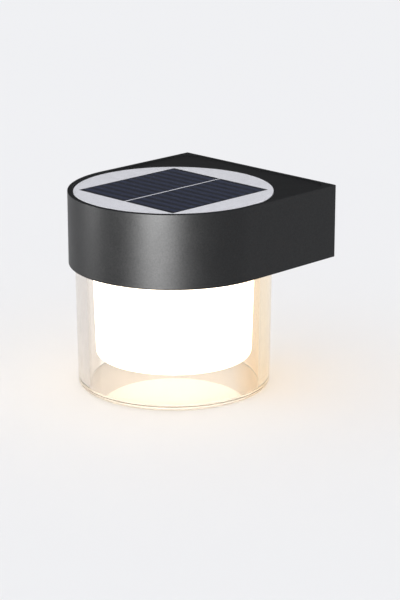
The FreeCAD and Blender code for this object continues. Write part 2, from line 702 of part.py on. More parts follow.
def battery_leads():
    """One wire from the top of each contact to the plug on the control board."""
    shapes = []
    wall_x = BATTERY_LENGTH / 2 + NUB_LENGTH + CONTACT_GAP + CONTACT_THICK / 2
    for side in (-1, 1):
        tab = V(side * wall_x, BATTERY_Y - 3, BATTERY_AXIS_Z + CONTACT_HALF_HEIGHT)
        plug = V(PLUG_XS[2] + side * WIRE_SPACING / 2, PLUG_Y, PLUG_TOP)
        route = [tab, tab + V(0, 0, 1.7), V(side * 26, BATTERY_Y - 13, PLUG_TOP + 5.5),
                 V(plug.x + side * 9, 2, PLUG_TOP + 4), plug + V(0, 0, 3), plug]
        shapes.append(lead(route))
    return shapes


# ---- Control board -------------------------------------------------------------------------

CONTROL_TOP = CONTROL_BOTTOM + BOARD_THICK
PLUG_HEIGHT = 4.5
PLUG_TOP = CONTROL_TOP + PLUG_HEIGHT
PLUG_Y = CONTROL_Y + CONTROL_DEPTH / 2 - 8.5
PLUG_XS = (-14.0, -6.0, 6.0, 14.0)


def control_board():
    board = block(-CONTROL_WIDTH / 2, CONTROL_WIDTH / 2,
                  CONTROL_Y - CONTROL_DEPTH / 2, CONTROL_Y + CONTROL_DEPTH / 2,
                  CONTROL_BOTTOM, CONTROL_TOP)
    upright = [e for e in board.Edges if e.BoundBox.ZLength > BOARD_THICK - 0.01]
    board = board.makeFillet(CONTROL_CORNER, upright)
    return with_holes(board, [screw_hole(x, y, 0, HEAD_TOP) for x, y in control_posts()])


def board_components():
    """Four plugs, the charge controller, a coil, two capacitors and a row of small parts."""
    parts = [block(x - 2.6, x + 2.6, PLUG_Y - 2, PLUG_Y + 2, CONTROL_TOP, PLUG_TOP) for x in PLUG_XS]
    front = CONTROL_Y - CONTROL_DEPTH / 2
    parts.append(block(-3.5, 3.5, front + 8, front + 13, CONTROL_TOP, CONTROL_TOP + 1.6))
    coil = disc(4.0, CONTROL_TOP, CONTROL_TOP + 4.4, -12, front + 9)
    parts.append(coil.makeChamfer(0.5, edges_at_height(coil, CONTROL_TOP + 4.4)))
    for x in (10.0, 17.5):
        can = disc(3.1, CONTROL_TOP, CONTROL_TOP + 7.5, x, front + 8)
        parts.append(can.makeChamfer(0.4, edges_at_height(can, CONTROL_TOP + 7.5)))
    for i in range(5):
        x = -6.0 + 3.0 * i
        parts.append(block(x - 0.9, x + 0.9, front + 3, front + 4.2, CONTROL_TOP, CONTROL_TOP + 0.6))
    return parts


def board_screws():
    """Four screws driven down through the control board."""
    shapes = []
    for x, y in control_posts():
        upside = screw(x, y, 0, BOARD_SCREW_LENGTH)
        upside.rotate(V(x, y, 0), V(1, 0, 0), 180)
        upside.translate(V(0, 0, CONTROL_TOP))
        shapes.append(upside)
    return shapes


# ---- Switch --------------------------------------------------------------------------------

def switch_body():
    """Latching push switch under its board, bored for the button's plunger."""
    half = SWITCH_SIDE / 2
    low = SWITCH_BOARD_BOTTOM - SWITCH_HEIGHT
    case = block(SWITCH_X - half, SWITCH_X + half, SWITCH_Y - half, SWITCH_Y + half,
                 low, SWITCH_BOARD_BOTTOM)
    case = case.makeChamfer(0.4, edges_at_height(case, low))
    bore = disc(PLUNGER_RADIUS + 0.3, low - 1, PLUNGER_TOP + BUTTON_TRAVEL + 0.4, SWITCH_X, SWITCH_Y)
    return case.cut(bore)


def switch_board():
    board = block(SWITCH_X - SWITCH_BOARD_X / 2, SWITCH_X + SWITCH_BOARD_X / 2,
                  SWITCH_Y - SWITCH_BOARD_Y / 2, SWITCH_Y + SWITCH_BOARD_Y / 2,
                  SWITCH_BOARD_BOTTOM, SWITCH_BOARD_BOTTOM + BOARD_THICK)
    return with_holes(board, [disc(STAKE_RADIUS, 0, HEAD_TOP, SWITCH_X, y) for y in switch_post_ys()])


def switch_button():
    """Soft button in the rear floor, kept in by its flange, with the plunger on top."""
    cap = disc(BUTTON_RADIUS, BUTTON_BOTTOM, REAR_FLOOR_TOP + 1, SWITCH_X, SWITCH_Y)
    cap = cap.makeChamfer(0.5, edges_at_height(cap, BUTTON_BOTTOM))
    flange_low = REAR_FLOOR_TOP + 0.3
    flange = disc(BUTTON_FLANGE_RADIUS, flange_low, flange_low + 1.0, SWITCH_X, SWITCH_Y)
    plunger = disc(PLUNGER_RADIUS, REAR_FLOOR_TOP, PLUNGER_TOP, SWITCH_X, SWITCH_Y)
    plunger = plunger.makeChamfer(0.4, edges_at_height(plunger, PLUNGER_TOP))
    return fused([cap, flange, plunger])


def switch_leads():
    start = V(SWITCH_X, SWITCH_Y - 1.5, SWITCH_BOARD_BOTTOM + BOARD_THICK)
    plug = V(PLUG_XS[3], PLUG_Y, PLUG_TOP)
    route = [start, start + V(0, 0, 12), V(38, 30, PLUG_TOP + 2), V(32, 8, PLUG_TOP + 3),
             plug + V(0, 0, 3), plug]
    return twin_lead(route, V(1, -1, 0))


# ---- Wall bracket --------------------------------------------------------------------------

def bracket_plate():
    """Plate with rounded corners and folded top and bottom edges."""
    front = WALL_PLANE - BRACKET_THICK
    corners = [(V(x, WALL_PLANE, z), BRACKET_CORNER) for x, z in (
        (-BRACKET_HALF_WIDTH, BRACKET_LOW), (BRACKET_HALF_WIDTH, BRACKET_LOW),
        (BRACKET_HALF_WIDTH, BRACKET_HIGH), (-BRACKET_HALF_WIDTH, BRACKET_HIGH))]
    plate = Part.Face(rounded_outline(corners)).extrude(V(0, -BRACKET_THICK, 0))
    fold_half = BRACKET_HALF_WIDTH - BRACKET_CORNER - 1
    folds = [block(-fold_half, fold_half, front - BRACKET_FLANGE, front + 0.5, z, z + BRACKET_THICK)
             for z in (BRACKET_LOW, BRACKET_HIGH - BRACKET_THICK)]
    return fused([plate] + folds)


def bracket_hook():
    """Arm through the window in the head's back wall, with a tongue turned up behind it."""
    x0, x1 = HOOK_X - HOOK_WIDTH / 2, HOOK_X + HOOK_WIDTH / 2
    tongue_back = BACK_WALL_IN - HOOK_PLAY
    tongue_front = tongue_back - HOOK_TONGUE_THICK
    outline = rounded_outline([
        (V(x0, WALL_PLANE - 0.5, HOOK_BOTTOM), 0),
        (V(x0, WALL_PLANE - 0.5, HOOK_BOTTOM + HOOK_ARM_HEIGHT), 0),
        (V(x0, tongue_back, HOOK_BOTTOM + HOOK_ARM_HEIGHT), 0),
        (V(x0, tongue_back, HOOK_TONGUE_TOP), 0.6),
        (V(x0, tongue_front, HOOK_TONGUE_TOP), 0.6),
        (V(x0, tongue_front, HOOK_BOTTOM), 1.4),
    ])
    return Part.Face(outline).extrude(V(x1 - x0, 0, 0))


def bracket_slot():
    """Slotted screw hole that runs sideways."""
    middle_z = (BRACKET_LOW + BRACKET_HIGH) / 2
    reach = SLOT_LENGTH / 2 - SLOT_HALF_WIDTH
    toward_wall = V(0, 1, 0)
    start_y = WALL_PLANE - BRACKET_THICK - 1
    ends = [Part.makeCylinder(SLOT_HALF_WIDTH, BRACKET_THICK + 2,
                              V(SLOT_X + s * reach, start_y, middle_z), toward_wall) for s in (-1, 1)]
    middle = block(SLOT_X - reach, SLOT_X + reach, start_y, WALL_PLANE + 1,
                   middle_z - SLOT_HALF_WIDTH, middle_z + SLOT_HALF_WIDTH)
    return fused([middle] + ends)


def wall_bracket():
    body = fused([bracket_plate()] + both_sides(bracket_hook()))
    return with_holes(body, both_sides(bracket_slot()))


# ---- Everything ----------------------------------------------------------------------------

SUBPARTS = (
    head_shell, panel_gasket, panel_backing, solar_cells, panel_cover, panel_leads,
    chassis, chassis_screws, glass_seal, glass_cup, diffuser_cup, diffuser_screws,
    led_board, led_chips, led_board_screws, led_leads,
    battery_holder, battery_cell, battery_contacts, battery_leads,
    control_board, board_components, board_screws,
    switch_body, switch_board, switch_button, switch_leads, wall_bracket,
)


def main():
    os.makedirs("parts", exist_ok=True)
    for subpart in SUBPARTS:
        made = subpart()
        shape = Part.makeCompound(made) if isinstance(made, list) else made
        shape.exportStep(f"parts/{subpart.__name__}.step")
        print(f"{subpart.__name__}: {len(shape.Solids)} solid(s), {shape.Volume / 1000:.2f} cm3, "
              f"valid {shape.isValid()}")


main()
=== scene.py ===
import json
from math import atan2, cos, pi, radians, sin, tan

import bmesh
import bpy
from mathutils import Matrix, Vector

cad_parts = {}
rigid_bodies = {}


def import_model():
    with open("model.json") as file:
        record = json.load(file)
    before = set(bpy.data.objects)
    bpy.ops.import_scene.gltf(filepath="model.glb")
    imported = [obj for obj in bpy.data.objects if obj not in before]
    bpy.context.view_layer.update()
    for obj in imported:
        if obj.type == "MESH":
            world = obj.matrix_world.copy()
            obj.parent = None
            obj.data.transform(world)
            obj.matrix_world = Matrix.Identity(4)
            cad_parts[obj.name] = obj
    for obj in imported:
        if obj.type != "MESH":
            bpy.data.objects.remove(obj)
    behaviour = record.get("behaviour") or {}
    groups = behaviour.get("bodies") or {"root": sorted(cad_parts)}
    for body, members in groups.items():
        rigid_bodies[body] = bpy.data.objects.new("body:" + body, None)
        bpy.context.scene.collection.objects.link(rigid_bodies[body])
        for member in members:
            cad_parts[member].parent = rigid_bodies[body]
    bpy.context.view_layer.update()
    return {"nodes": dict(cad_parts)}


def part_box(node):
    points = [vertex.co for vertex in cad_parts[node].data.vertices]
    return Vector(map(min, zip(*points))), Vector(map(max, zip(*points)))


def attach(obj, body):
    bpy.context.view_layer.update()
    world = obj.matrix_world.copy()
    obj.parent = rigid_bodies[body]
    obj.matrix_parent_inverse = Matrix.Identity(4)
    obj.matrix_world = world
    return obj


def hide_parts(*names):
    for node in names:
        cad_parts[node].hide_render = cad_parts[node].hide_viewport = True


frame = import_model()

bl_info = {
    "name": "Solar Fence Light",
    "version": (1, 0, 0),
    "blender": (4, 5, 0),
    "location": "3D View > Sidebar > Fence Light",
    "description": "Dresses the packed solar fence light: head, solar panel, glass, diffuser and studio",
    "category": "Object",
}

MM = 0.001

# Corners of the boxes of the CAD nodes that the pieces replace.
HEAD_LOW, HEAD_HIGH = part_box("head_shell")
GLASS_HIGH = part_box("glass_cup")[1]
DISC_LOW, DISC_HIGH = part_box("panel_backing")
COVER_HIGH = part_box("panel_cover")[1]
CELLS_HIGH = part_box("solar_cells")[1]
DIFFUSER_LOW, DIFFUSER_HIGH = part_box("diffuser_cup")
CHIPS_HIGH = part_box("led_chips")[1]
BUTTON_LOW, BUTTON_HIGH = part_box("switch_button")

# The button stands behind the glass, on the right seen from the front.
BUTTON_X = 41.0 * MM
BUTTON_Y = 55.0 * MM

# Edges sharper than this stay sharp under smooth shading.
SHARP_ANGLE = radians(32)

# Steps along each stretch of the D outline.
FRONT_STEPS = 128
SIDE_STEPS = 8
CORNER_STEPS = 8
BACK_STEPS = 12

# Radius of the circle that a turned profile is swept along.
SWEEP_RADIUS = 0.1

# Most of a noise texture's values lie between these two.
NOISE_LOW = 0.3
NOISE_HIGH = 0.7

# The soft panels reach from the floor to just under the head's top, at this distance.
SOFT_PANEL_HEIGHT = 0.11
SOFT_PANEL_DISTANCE = 0.9


# ---- Settings ------------------------------------------------------------------------------

def length(name, default, description):
    """A size in metres."""
    return bpy.props.FloatProperty(name=name, description=description, default=default,
                                   min=0.0, precision=5, unit="LENGTH", subtype="DISTANCE")


def amount(name, default, description, low=0.0, high=100.0):
    """A plain number."""
    return bpy.props.FloatProperty(name=name, description=description, default=default,
                                   min=low, max=high, subtype="FACTOR" if high == 1.0 else "NONE")


def angle(name, default, description):
    """An angle, given in degrees and kept in radians."""
    return bpy.props.FloatProperty(name=name, description=description, default=radians(default),
                                   unit="ROTATION", subtype="ANGLE")


def number(name, default, description):
    """A count."""
    return bpy.props.IntProperty(name=name, description=description, default=default, min=1)


def colour(name, default, description):
    """A linear colour."""
    return bpy.props.FloatVectorProperty(name=name, description=description, default=default,
                                         size=3, min=0.0, max=1.0, subtype="COLOR")


class HeadSettings(bpy.types.PropertyGroup):
    """Sizes and finish of the D-shaped head."""
    half_width: length("Half Width", HEAD_HIGH.x, "Radius of the half-round front")
    back: length("Back", HEAD_HIGH.y, "Rear edge behind the glass's axis")
    top: length("Top", HEAD_HIGH.z, "Height of the lip's top")
    bottom: length("Bottom", HEAD_LOW.z, "Height of the underside")
    wall: length("Wall", 2.4 * MM, "Thickness of the moulding")
    back_corner: length("Back Corner", 0.6 * MM, "Rounding of the upright rear corners")
    top_round: length("Top Rounding", 0.45 * MM, "Rounding of the top edge")
    bottom_round: length("Bottom Rounding", 0.3 * MM, "Rounding of the bottom edge")
    lip_width: length("Lip Width", 2.4 * MM, "Width of the raised rim round the top")
    recess_front: length("Recess Depth, Front", 1.5 * MM, "Depth inside the rim at the front")
    recess_back: length("Recess Depth, Back", 0.7 * MM, "Depth inside the rim at the wall")
    lip_edge: length("Lip Edge", 0.14 * MM, "Bevel of the rim's inner edge and the pocket's edge")
    recess_corner: length("Recess Corner", 12.0 * MM, "Rounding of the recess's rear corners")
    pocket_radius: length("Pocket Radius", 57.1 * MM, "Round pocket that the panel lies in")
    pocket_depth: length("Pocket Depth", 3.2 * MM, "Depth of the pocket below the rim")
    ceiling_depth: length("Ceiling Depth", 4.0 * MM, "Inner ceiling below the rim's top")
    hollow_half: length("Hollow Half Width", 56.5 * MM, "Half width of the hollow in the back")
    back_wall_out: length("Back Wall Outer Face", 66.6 * MM, "Outer face of the wall in the hollow")
    back_wall_in: length("Back Wall Inner Face", 64.2 * MM, "Inner face of that wall")
    window_x: length("Window Place", 18.0 * MM, "Middle of each hook window from the centre")
    window_half: length("Window Half Width", 6.5 * MM, "Half width of each hook window")
    window_low: length("Window Bottom", 86.7 * MM, "Lower edge of the hook windows")
    window_high: length("Window Top", 95.0 * MM, "Upper edge of the hook windows")
    paint: colour("Paint", (0.0145, 0.015, 0.016), "Anthracite finish")


class PanelSettings(bpy.types.PropertyGroup):
    """Sizes and finish of the solar panel."""
    radius: length("Radius", DISC_HIGH.x, "Radius of the silver disc")
    low: length("Disc Bottom", DISC_LOW.z, "Height of the disc's underside")
    disc_top: length("Disc Top", CELLS_HIGH.z - 0.06 * MM, "Height of the disc's face")
    resin_top: length("Resin Top", COVER_HIGH.z, "Height of the clear resin's face")
    cell_half: length("Cell Half Side", CELLS_HIGH.x, "Half the side of the square of cells")
    cell_gap: length("Cell Gap", 1.1 * MM, "Silver line left between the two cells")
    cell_top: length("Cell Top", CELLS_HIGH.z, "Height of the cells' face")
    strip: length("Strip Width", 6.6 * MM, "Width of one tonal strip across a cell")
    fingers: number("Fingers", 45, "Printed fingers across each cell")
    finger_width: length("Finger Width", 0.07 * MM, "Width of a printed finger")
    resin_index: amount("Resin Refraction", 1.12, "Strength of the resin's gloss", 1.0, 3.0)
    silver: colour("Silver", (0.75, 0.75, 0.795), "Disc under the resin")
    silicon: colour("Silicon", (0.016, 0.021, 0.044), "Cells")
    finger: colour("Finger", (0.07, 0.08, 0.11), "Printed fingers")


class GlassSettings(bpy.types.PropertyGroup):
    """Sizes and finish of the glass cup."""
    shoulder_radius: length("Shoulder Radius", GLASS_HIGH.x, "Outer radius under the head")
    foot_radius: length("Foot Radius", 55.5 * MM, "Outer radius at the foot")
    shoulder: length("Shoulder", 73.7 * MM, "Height of the shoulder")
    neck_radius: length("Neck Radius", 53.0 * MM, "Outer radius of the neck inside the head")
    top: length("Top", GLASS_HIGH.z, "Height of the neck's rim")
    inner_top: length("Inner Radius, Top", 49.9 * MM, "Inner radius at the rim")
    inner_foot: length("Inner Radius, Foot", 49.1 * MM, "Inner radius at the floor")
    floor: length("Floor", 2.1 * MM, "Thickness of the glass's floor")
    foot_round: length("Foot Rounding", 2.6 * MM, "Rounding of the outer foot")
    inner_round: length("Inner Rounding", 0.12 * MM, "Rounding inside the foot")
    lugs: number("Lugs", 4, "Bayonet lugs round the neck")
    lug_radius: length("Lug Radius", 54.8 * MM, "Outer radius of a lug")
    lug_low: length("Lug Bottom", 79.0 * MM, "Height of a lug's underside")
    lug_height: length("Lug Height", 2.4 * MM, "Height of a lug")
    lug_span: angle("Lug Span", 14.0, "Angle that a lug takes up")
    index: amount("Refraction", 1.46, "Index of refraction", 1.0, 3.0)
    tint: colour("Tint", (0.985, 0.98, 0.97), "Colour of the clear glass")
    thick_tint: colour("Thick Tint", (0.52, 0.48, 0.44), "Colour where the wall is seen edge on")
    lamp_cast_tint: colour("Warm Tint", (0.92, 0.67, 0.37), "Cast of the lamp on the side by the wall")
    foot_tint: colour("Foot Tint", (0.76, 0.74, 0.73), "Colour of the ground underside")
    # Painted shade: the colour of the dark line round the glass's foot and of the glass's dark outline.
    shade_line_tint: colour("Seam Tint", (0.22, 0.20, 0.18), "Fine mould line round the foot")
    lamp_tint: colour("Lamp Tint", (0.68, 0.60, 0.44), "Colour of lamp light behind the glass")
    spill: colour("Spill", (1.0, 0.78, 0.55), "Lamp light scattered by the glass")
    spill_strength: amount("Spill Strength", 0.095, "Brightness of that scattered light")


class DiffuserSettings(bpy.types.PropertyGroup):
    """Sizes and glow of the opal cup."""
    bottom_radius: length("Bottom Radius", 44.8 * MM, "Outer radius at the closed end")
    draft: angle("Draft", 1.7, "Taper of the side")
    bottom: length("Bottom", DIFFUSER_LOW.z, "Height of the closed end")
    rounding: length("Rounding", 5.5 * MM, "Rounding of the closed end")
    wall: length("Wall", 2.0 * MM, "Thickness")
    flange_radius: length("Flange Radius", DIFFUSER_HIGH.x, "Radius of the fixing flange")
    flange_low: length("Flange Bottom", 87.2 * MM, "Height of the flange's underside")
    top: length("Top", DIFFUSER_HIGH.z, "Height of the flange's top")
    glow: colour("Glow", (1.0, 0.88, 0.72), "Warm light from within")
    strength: amount("Strength", 2.9, "Brightness of the glow")


class LedSettings(bpy.types.PropertyGroup):
    """Sizes of the ring of LEDs."""
    count: number("Count", 12, "LEDs round the board")
    ring_radius: length("Ring Radius", 27.0 * MM, "Radius of the ring")
    base: length("Board Face", CHIPS_HIGH.z, "Height of the board's face")
    across: length("Across", 2.8 * MM, "Size of a package towards the centre")
    along: length("Along", 3.5 * MM, "Size of a package round the ring")
    height: length("Height", 0.8 * MM, "Height of a package")
    phosphor: colour("Phosphor", (0.93, 0.72, 0.22), "Yellow window of each LED")


class ScrewSettings(bpy.types.PropertyGroup):
    """Sizes of the pan-head screws."""
    head_radius: length("Head Radius", 2.2 * MM, "Radius of the head")
    head_height: length("Head Height", 1.6 * MM, "Height of the head")
    shank_radius: length("Shank Radius", 1.2 * MM, "Radius of the shank")
    recess_arm: length("Recess Arm", 1.3 * MM, "Reach of the cross recess")
    recess_half: length("Recess Half Width", 0.3 * MM, "Half the width of the recess")
    recess_depth: length("Recess Depth", 0.9 * MM, "Depth of the recess")
    zinc: colour("Zinc", (0.56, 0.57, 0.60), "Plated steel")


class HardwareSettings(bpy.types.PropertyGroup):
    """Sizes of the button and colours of the carried-over parts."""
    button_radius: length("Button Radius", 3.3 * MM, "Radius of the button's cap")
    flange_radius: length("Button Flange", BUTTON_HIGH.x - BUTTON_X, "Radius that keeps it in")
    button_x: length("Button X", BUTTON_X, "Place of the button across the head")
    button_y: length("Button Y", BUTTON_Y, "Place of the button towards the wall")
    plastic: colour("Black Plastic", (0.030, 0.031, 0.033), "Chassis and battery holder")
    rubber: colour("Rubber", (0.036, 0.036, 0.038), "Seal and button")
    powder: colour("Powder Coat", (0.040, 0.040, 0.042), "Wall bracket")
    mask: colour("Solder Mask", (0.022, 0.130, 0.055), "Control and switch boards")
    sleeve: colour("Lead Sleeve", (0.33, 0.03, 0.03), "Insulation of the leads")
    film: colour("Battery Film", (0.20, 0.36, 0.26), "Shrink film on the cell")
    nickel: colour("Nickel", (0.66, 0.65, 0.61), "Battery contacts")


class StageSettings(bpy.types.PropertyGroup):
    """Floor, lamps and camera."""
    floor: colour("Floor", (0.86, 0.86, 0.87), "Pale floor")
    even: amount("Even Light", 1.025, "Light from all round")
    key: amount("Key Light", 325.0, "Brightness of the wide soft panel beside the camera")
    key_azimuth: angle("Key Azimuth", 29.0, "Side that the wide soft panel stands on")
    key_width: length("Key Width", 0.50, "Width of the wide soft panel")
    side: amount("Side Light", 135.0, "Brightness of the soft panel on the left")
    side_azimuth: angle("Side Azimuth", -46.0, "Side that the left soft panel stands on")
    side_width: length("Side Width", 0.14, "Width of the left soft panel")
    camera_azimuth: angle("Camera Azimuth", 44.72, "Side that the camera looks from")
    camera_elevation: angle("Camera Elevation", 16.926, "Height of the camera's view")
    camera_place: bpy.props.FloatVectorProperty(
        name="Camera Place", description="Where the camera stands", size=3,
        default=(0.78791, -0.77422, 0.38404), unit="LENGTH", subtype="TRANSLATION")
    lens: amount("Lens", 120.376, "Focal length in millimetres for a 36 mm frame", 1.0, 500.0)


# ---- Node trees ----------------------------------------------------------------------------

class Nodes:
    """Adds nodes to one tree. An input is given as a value, or as the socket that feeds it."""

    def __init__(self, tree):
        self.tree = tree

    def add(self, kind, inputs=None, **settings):
        node = self.tree.nodes.new(kind)
        for name, value in settings.items():
            setattr(node, name, value)
        for name, value in (inputs or {}).items():
            if isinstance(value, bpy.types.NodeSocket):
                self.tree.links.new(value, node.inputs[name])
            else:
                node.inputs[name].default_value = value
        return node.outputs

    def math(self, operation, a, b=0.0, clamp=False):
        return self.add("ShaderNodeMath", {0: a, 1: b}, operation=operation, use_clamp=clamp)[0]

    def mix(self, factor, a, b):
        """Mix of two colours."""
        mixed = self.add("ShaderNodeMix", {0: factor, 6: a, 7: b}, data_type="RGBA")
        return mixed[2]

    def ramp(self, value, from_low, from_high, to_low=0.0, to_high=1.0, smooth=False):
        kind = "SMOOTHSTEP" if smooth else "LINEAR"
        return self.add("ShaderNodeMapRange", {0: value, 1: from_low, 2: from_high, 3: to_low, 4: to_high},
                        interpolation_type=kind)[0]


def shade_of(base, factor):
    """A colour made lighter or darker, with full alpha."""
    return tuple(min(c * factor, 1.0) for c in base) + (1.0,)


class Finish(Nodes):
    """A material on Object coordinates that ends in one Principled shader."""

    def __init__(self, name):
        self.material = bpy.data.materials.new(name)
        self.material.use_nodes = True
        super().__init__(self.material.node_tree)
        self.tree.nodes.clear()
        self.place = self.add("ShaderNodeTexCoord")["Object"]

    def noise(self, size, detail=2.0, roughness=0.5, stretch=(1.0, 1.0, 1.0)):
        """Noise whose features are about size metres across."""
        spread = self.add("ShaderNodeMapping", {"Vector": self.place, "Scale": stretch})[0]
        return self.add("ShaderNodeTexNoise", {"Vector": spread, "Scale": 1.0 / size,
                                               "Detail": detail, "Roughness": roughness})[0]

    def spread(self, noise, low, high):
        """Noise brought to the range from low to high."""
        return self.ramp(noise, NOISE_LOW, NOISE_HIGH, low, high)

    def axes(self):
        """The object's own X, Y and Z."""
        return self.add("ShaderNodeSeparateXYZ", {0: self.place})

    def outside(self):
        """1 on faces seen from outside, and 0 from within the solid."""
        return self.math("SUBTRACT", 1.0, self.add("ShaderNodeNewGeometry")["Backfacing"])

    def bump(self, height, distance):
        return self.add("ShaderNodeBump", {"Height": height, "Distance": distance, "Strength": 1.0})[0]

    def principled(self, inputs):
        return self.add("ShaderNodeBsdfPrincipled", inputs)[0]

    def end(self, shader):
        self.add("ShaderNodeOutputMaterial", {"Surface": shader})
        return self.material


def mottled(name, base, roughness, grain, depth, patch=6.0 * MM, spread=0.08):
    """Finish with a fine grain in its relief and slow patches in its colour and gloss."""
    finish = Finish(name)
    patches = finish.noise(patch, detail=3.0)
    grains = finish.noise(grain)
    tone = finish.mix(patches, shade_of(base, 1 - spread), shade_of(base, 1 + spread))
    gloss = finish.spread(patches, roughness - 0.03, roughness + 0.03)
    return finish.end(finish.principled({
        "Base Color": tone, "Roughness": gloss, "Normal": finish.bump(grains, depth)}))


def anthracite_paint(base):
    """Satin paint with a fine even texture, a little worn and dusty in slow patches, and painted shade
    along its bottom edge.
    """
    finish = Finish("anthracite_paint")
    texture = 0.9 * MM
    # Painted shade: below these heights, along the bottom edge, the paint is darkened and its gloss taken
    # away.
    shadow_low = HEAD_LOW.z + 0.3 * MM
    shadow_high = HEAD_LOW.z + 0.6 * MM
    grains = finish.noise(texture, detail=3.0, roughness=0.7)
    specks = finish.noise(texture)
    patches = finish.noise(14.0 * MM, detail=3.0)
    above_shadow = finish.ramp(finish.axes()["Z"], shadow_low, shadow_high)
    tone = finish.mix(specks, shade_of(base, 0.82), shade_of(base, 1.18))
    tone = finish.mix(above_shadow, shade_of(base, 0.2), tone)
    sheen = finish.math("MULTIPLY", finish.ramp(grains, 0.35, 0.65, 0.13, 0.17), above_shadow)
    wear = finish.math("ADD", patches, finish.math("MULTIPLY", specks, 0.5))
    return finish.end(finish.principled({
        "Base Color": tone, "Roughness": finish.ramp(wear, 0.45, 1.05, 0.40, 0.47),
        "Specular IOR Level": sheen, "Normal": finish.bump(grains, 0.03 * MM)}))


def silver_sheet(base):
    """Silver laminate with a fine, slightly cloudy grain."""
    finish = Finish("silver_sheet")
    grains = finish.noise(0.5 * MM, detail=4.0, roughness=0.7)
    clouds = finish.noise(3.2 * MM, detail=4.0, roughness=0.65)
    both = finish.math("ADD", finish.math("MULTIPLY", grains, 0.4), finish.math("MULTIPLY", clouds, 0.6))
    tone = finish.mix(finish.spread(both, 0.0, 1.0), shade_of(base, 0.92), shade_of(base, 1.08))
    return finish.end(finish.principled({
        "Base Color": tone, "Roughness": finish.spread(clouds, 0.5, 0.6),
        "Specular IOR Level": 0.3, "Normal": finish.bump(grains, 0.006 * MM)}))


def silicon_cells(panel):
    """Blue-black silicon in strips that run along X, each a little lighter in its middle, with painted
    shade along the edges of each half-cell.
    """
    finish = Finish("silicon_cells")
    place = finish.axes()
    # Painted shade: a dark border of this width round each half-cell.
    edge_shade_width = 1.1 * MM
    edge_shade_fade = 0.4 * MM
    wave = finish.math("COSINE", finish.math("MULTIPLY", place["Y"], 2 * pi / panel.strip))
    grain = finish.noise(0.7 * MM, detail=3.0, stretch=(0.25, 1.0, 1.0))
    level = finish.math("ADD", finish.math("MULTIPLY", wave, 0.35), finish.math("MULTIPLY", grain, 0.4))
    strips = finish.mix(finish.ramp(level, -0.2, 0.6, smooth=True),
                        shade_of(panel.silicon, 0.45), shade_of(panel.silicon, 1.7))
    from_middle = finish.math("MAXIMUM", finish.math("ABSOLUTE", place["X"]),
                              finish.math("ABSOLUTE", place["Y"]))
    # Painted shade along the edges of each half-cell.
    edge_shade = finish.ramp(from_middle, panel.cell_half - edge_shade_width,
                         panel.cell_half - edge_shade_width + edge_shade_fade)
    return finish.end(finish.principled({
        "Base Color": finish.mix(edge_shade, strips, shade_of(panel.silicon, 0.1)),
        "Roughness": finish.spread(grain, 0.34, 0.44),
        "Specular IOR Level": 0.15, "Normal": finish.bump(grain, 0.004 * MM)}))


def clear_resin(panel):
    """Clear resin: see-through, with only its gloss and a faint ripple."""
    finish = Finish("clear_resin")
    ripple = finish.noise(9.0 * MM, detail=1.0)
    relief = finish.bump(ripple, 0.02 * MM)
    gloss = finish.principled({"Base Color": (0.95, 0.95, 0.95, 1.0), "Metallic": 1.0,
                               "Roughness": finish.spread(ripple, 0.10, 0.16), "Normal": relief})
    clear = finish.add("ShaderNodeBsdfTransparent")[0]
    edge = finish.add("ShaderNodeFresnel", {"IOR": panel.resin_index, "Normal": relief})[0]
    sheen = finish.math("MULTIPLY", edge, finish.outside())
    return finish.end(finish.add("ShaderNodeMixShader", {0: sheen, 1: clear, 2: gloss})[0])


def glass_tone(finish, glass, place, outside):
    """Colour of the glass: darker where it is seen edge on, with painted lamp light on the side by the
    wall, and a painted dark outline.
    """
    turned_away = finish.add("ShaderNodeLayerWeight", {"Blend": 0.5})["Facing"]
    edge_on = finish.math("MULTIPLY", finish.ramp(turned_away, 0.50, 0.56), outside)
    tone = finish.mix(edge_on, shade_of(glass.tint, 1.0), shade_of(glass.thick_tint, 1.0))
    # Painted lamp light: the glass turns warmer on the side by the wall, where the lamp's light would fall.
    lamp_cast = finish.ramp(finish.math("ADD", place["X"], place["Y"]),
                          0.85 * glass.foot_radius, 1.3 * glass.foot_radius)
    tone = finish.mix(finish.math("MULTIPLY", lamp_cast, outside), tone, shade_of(glass.lamp_cast_tint, 1.0))
    # Painted shade: the glass darkens towards its outline, where its faces turn away.
    outline = finish.math("MULTIPLY", finish.ramp(turned_away, 0.84, 0.97, 0.0, 0.6), outside)
    return finish.mix(outline, tone, shade_of(glass.shade_line_tint, 1.0))


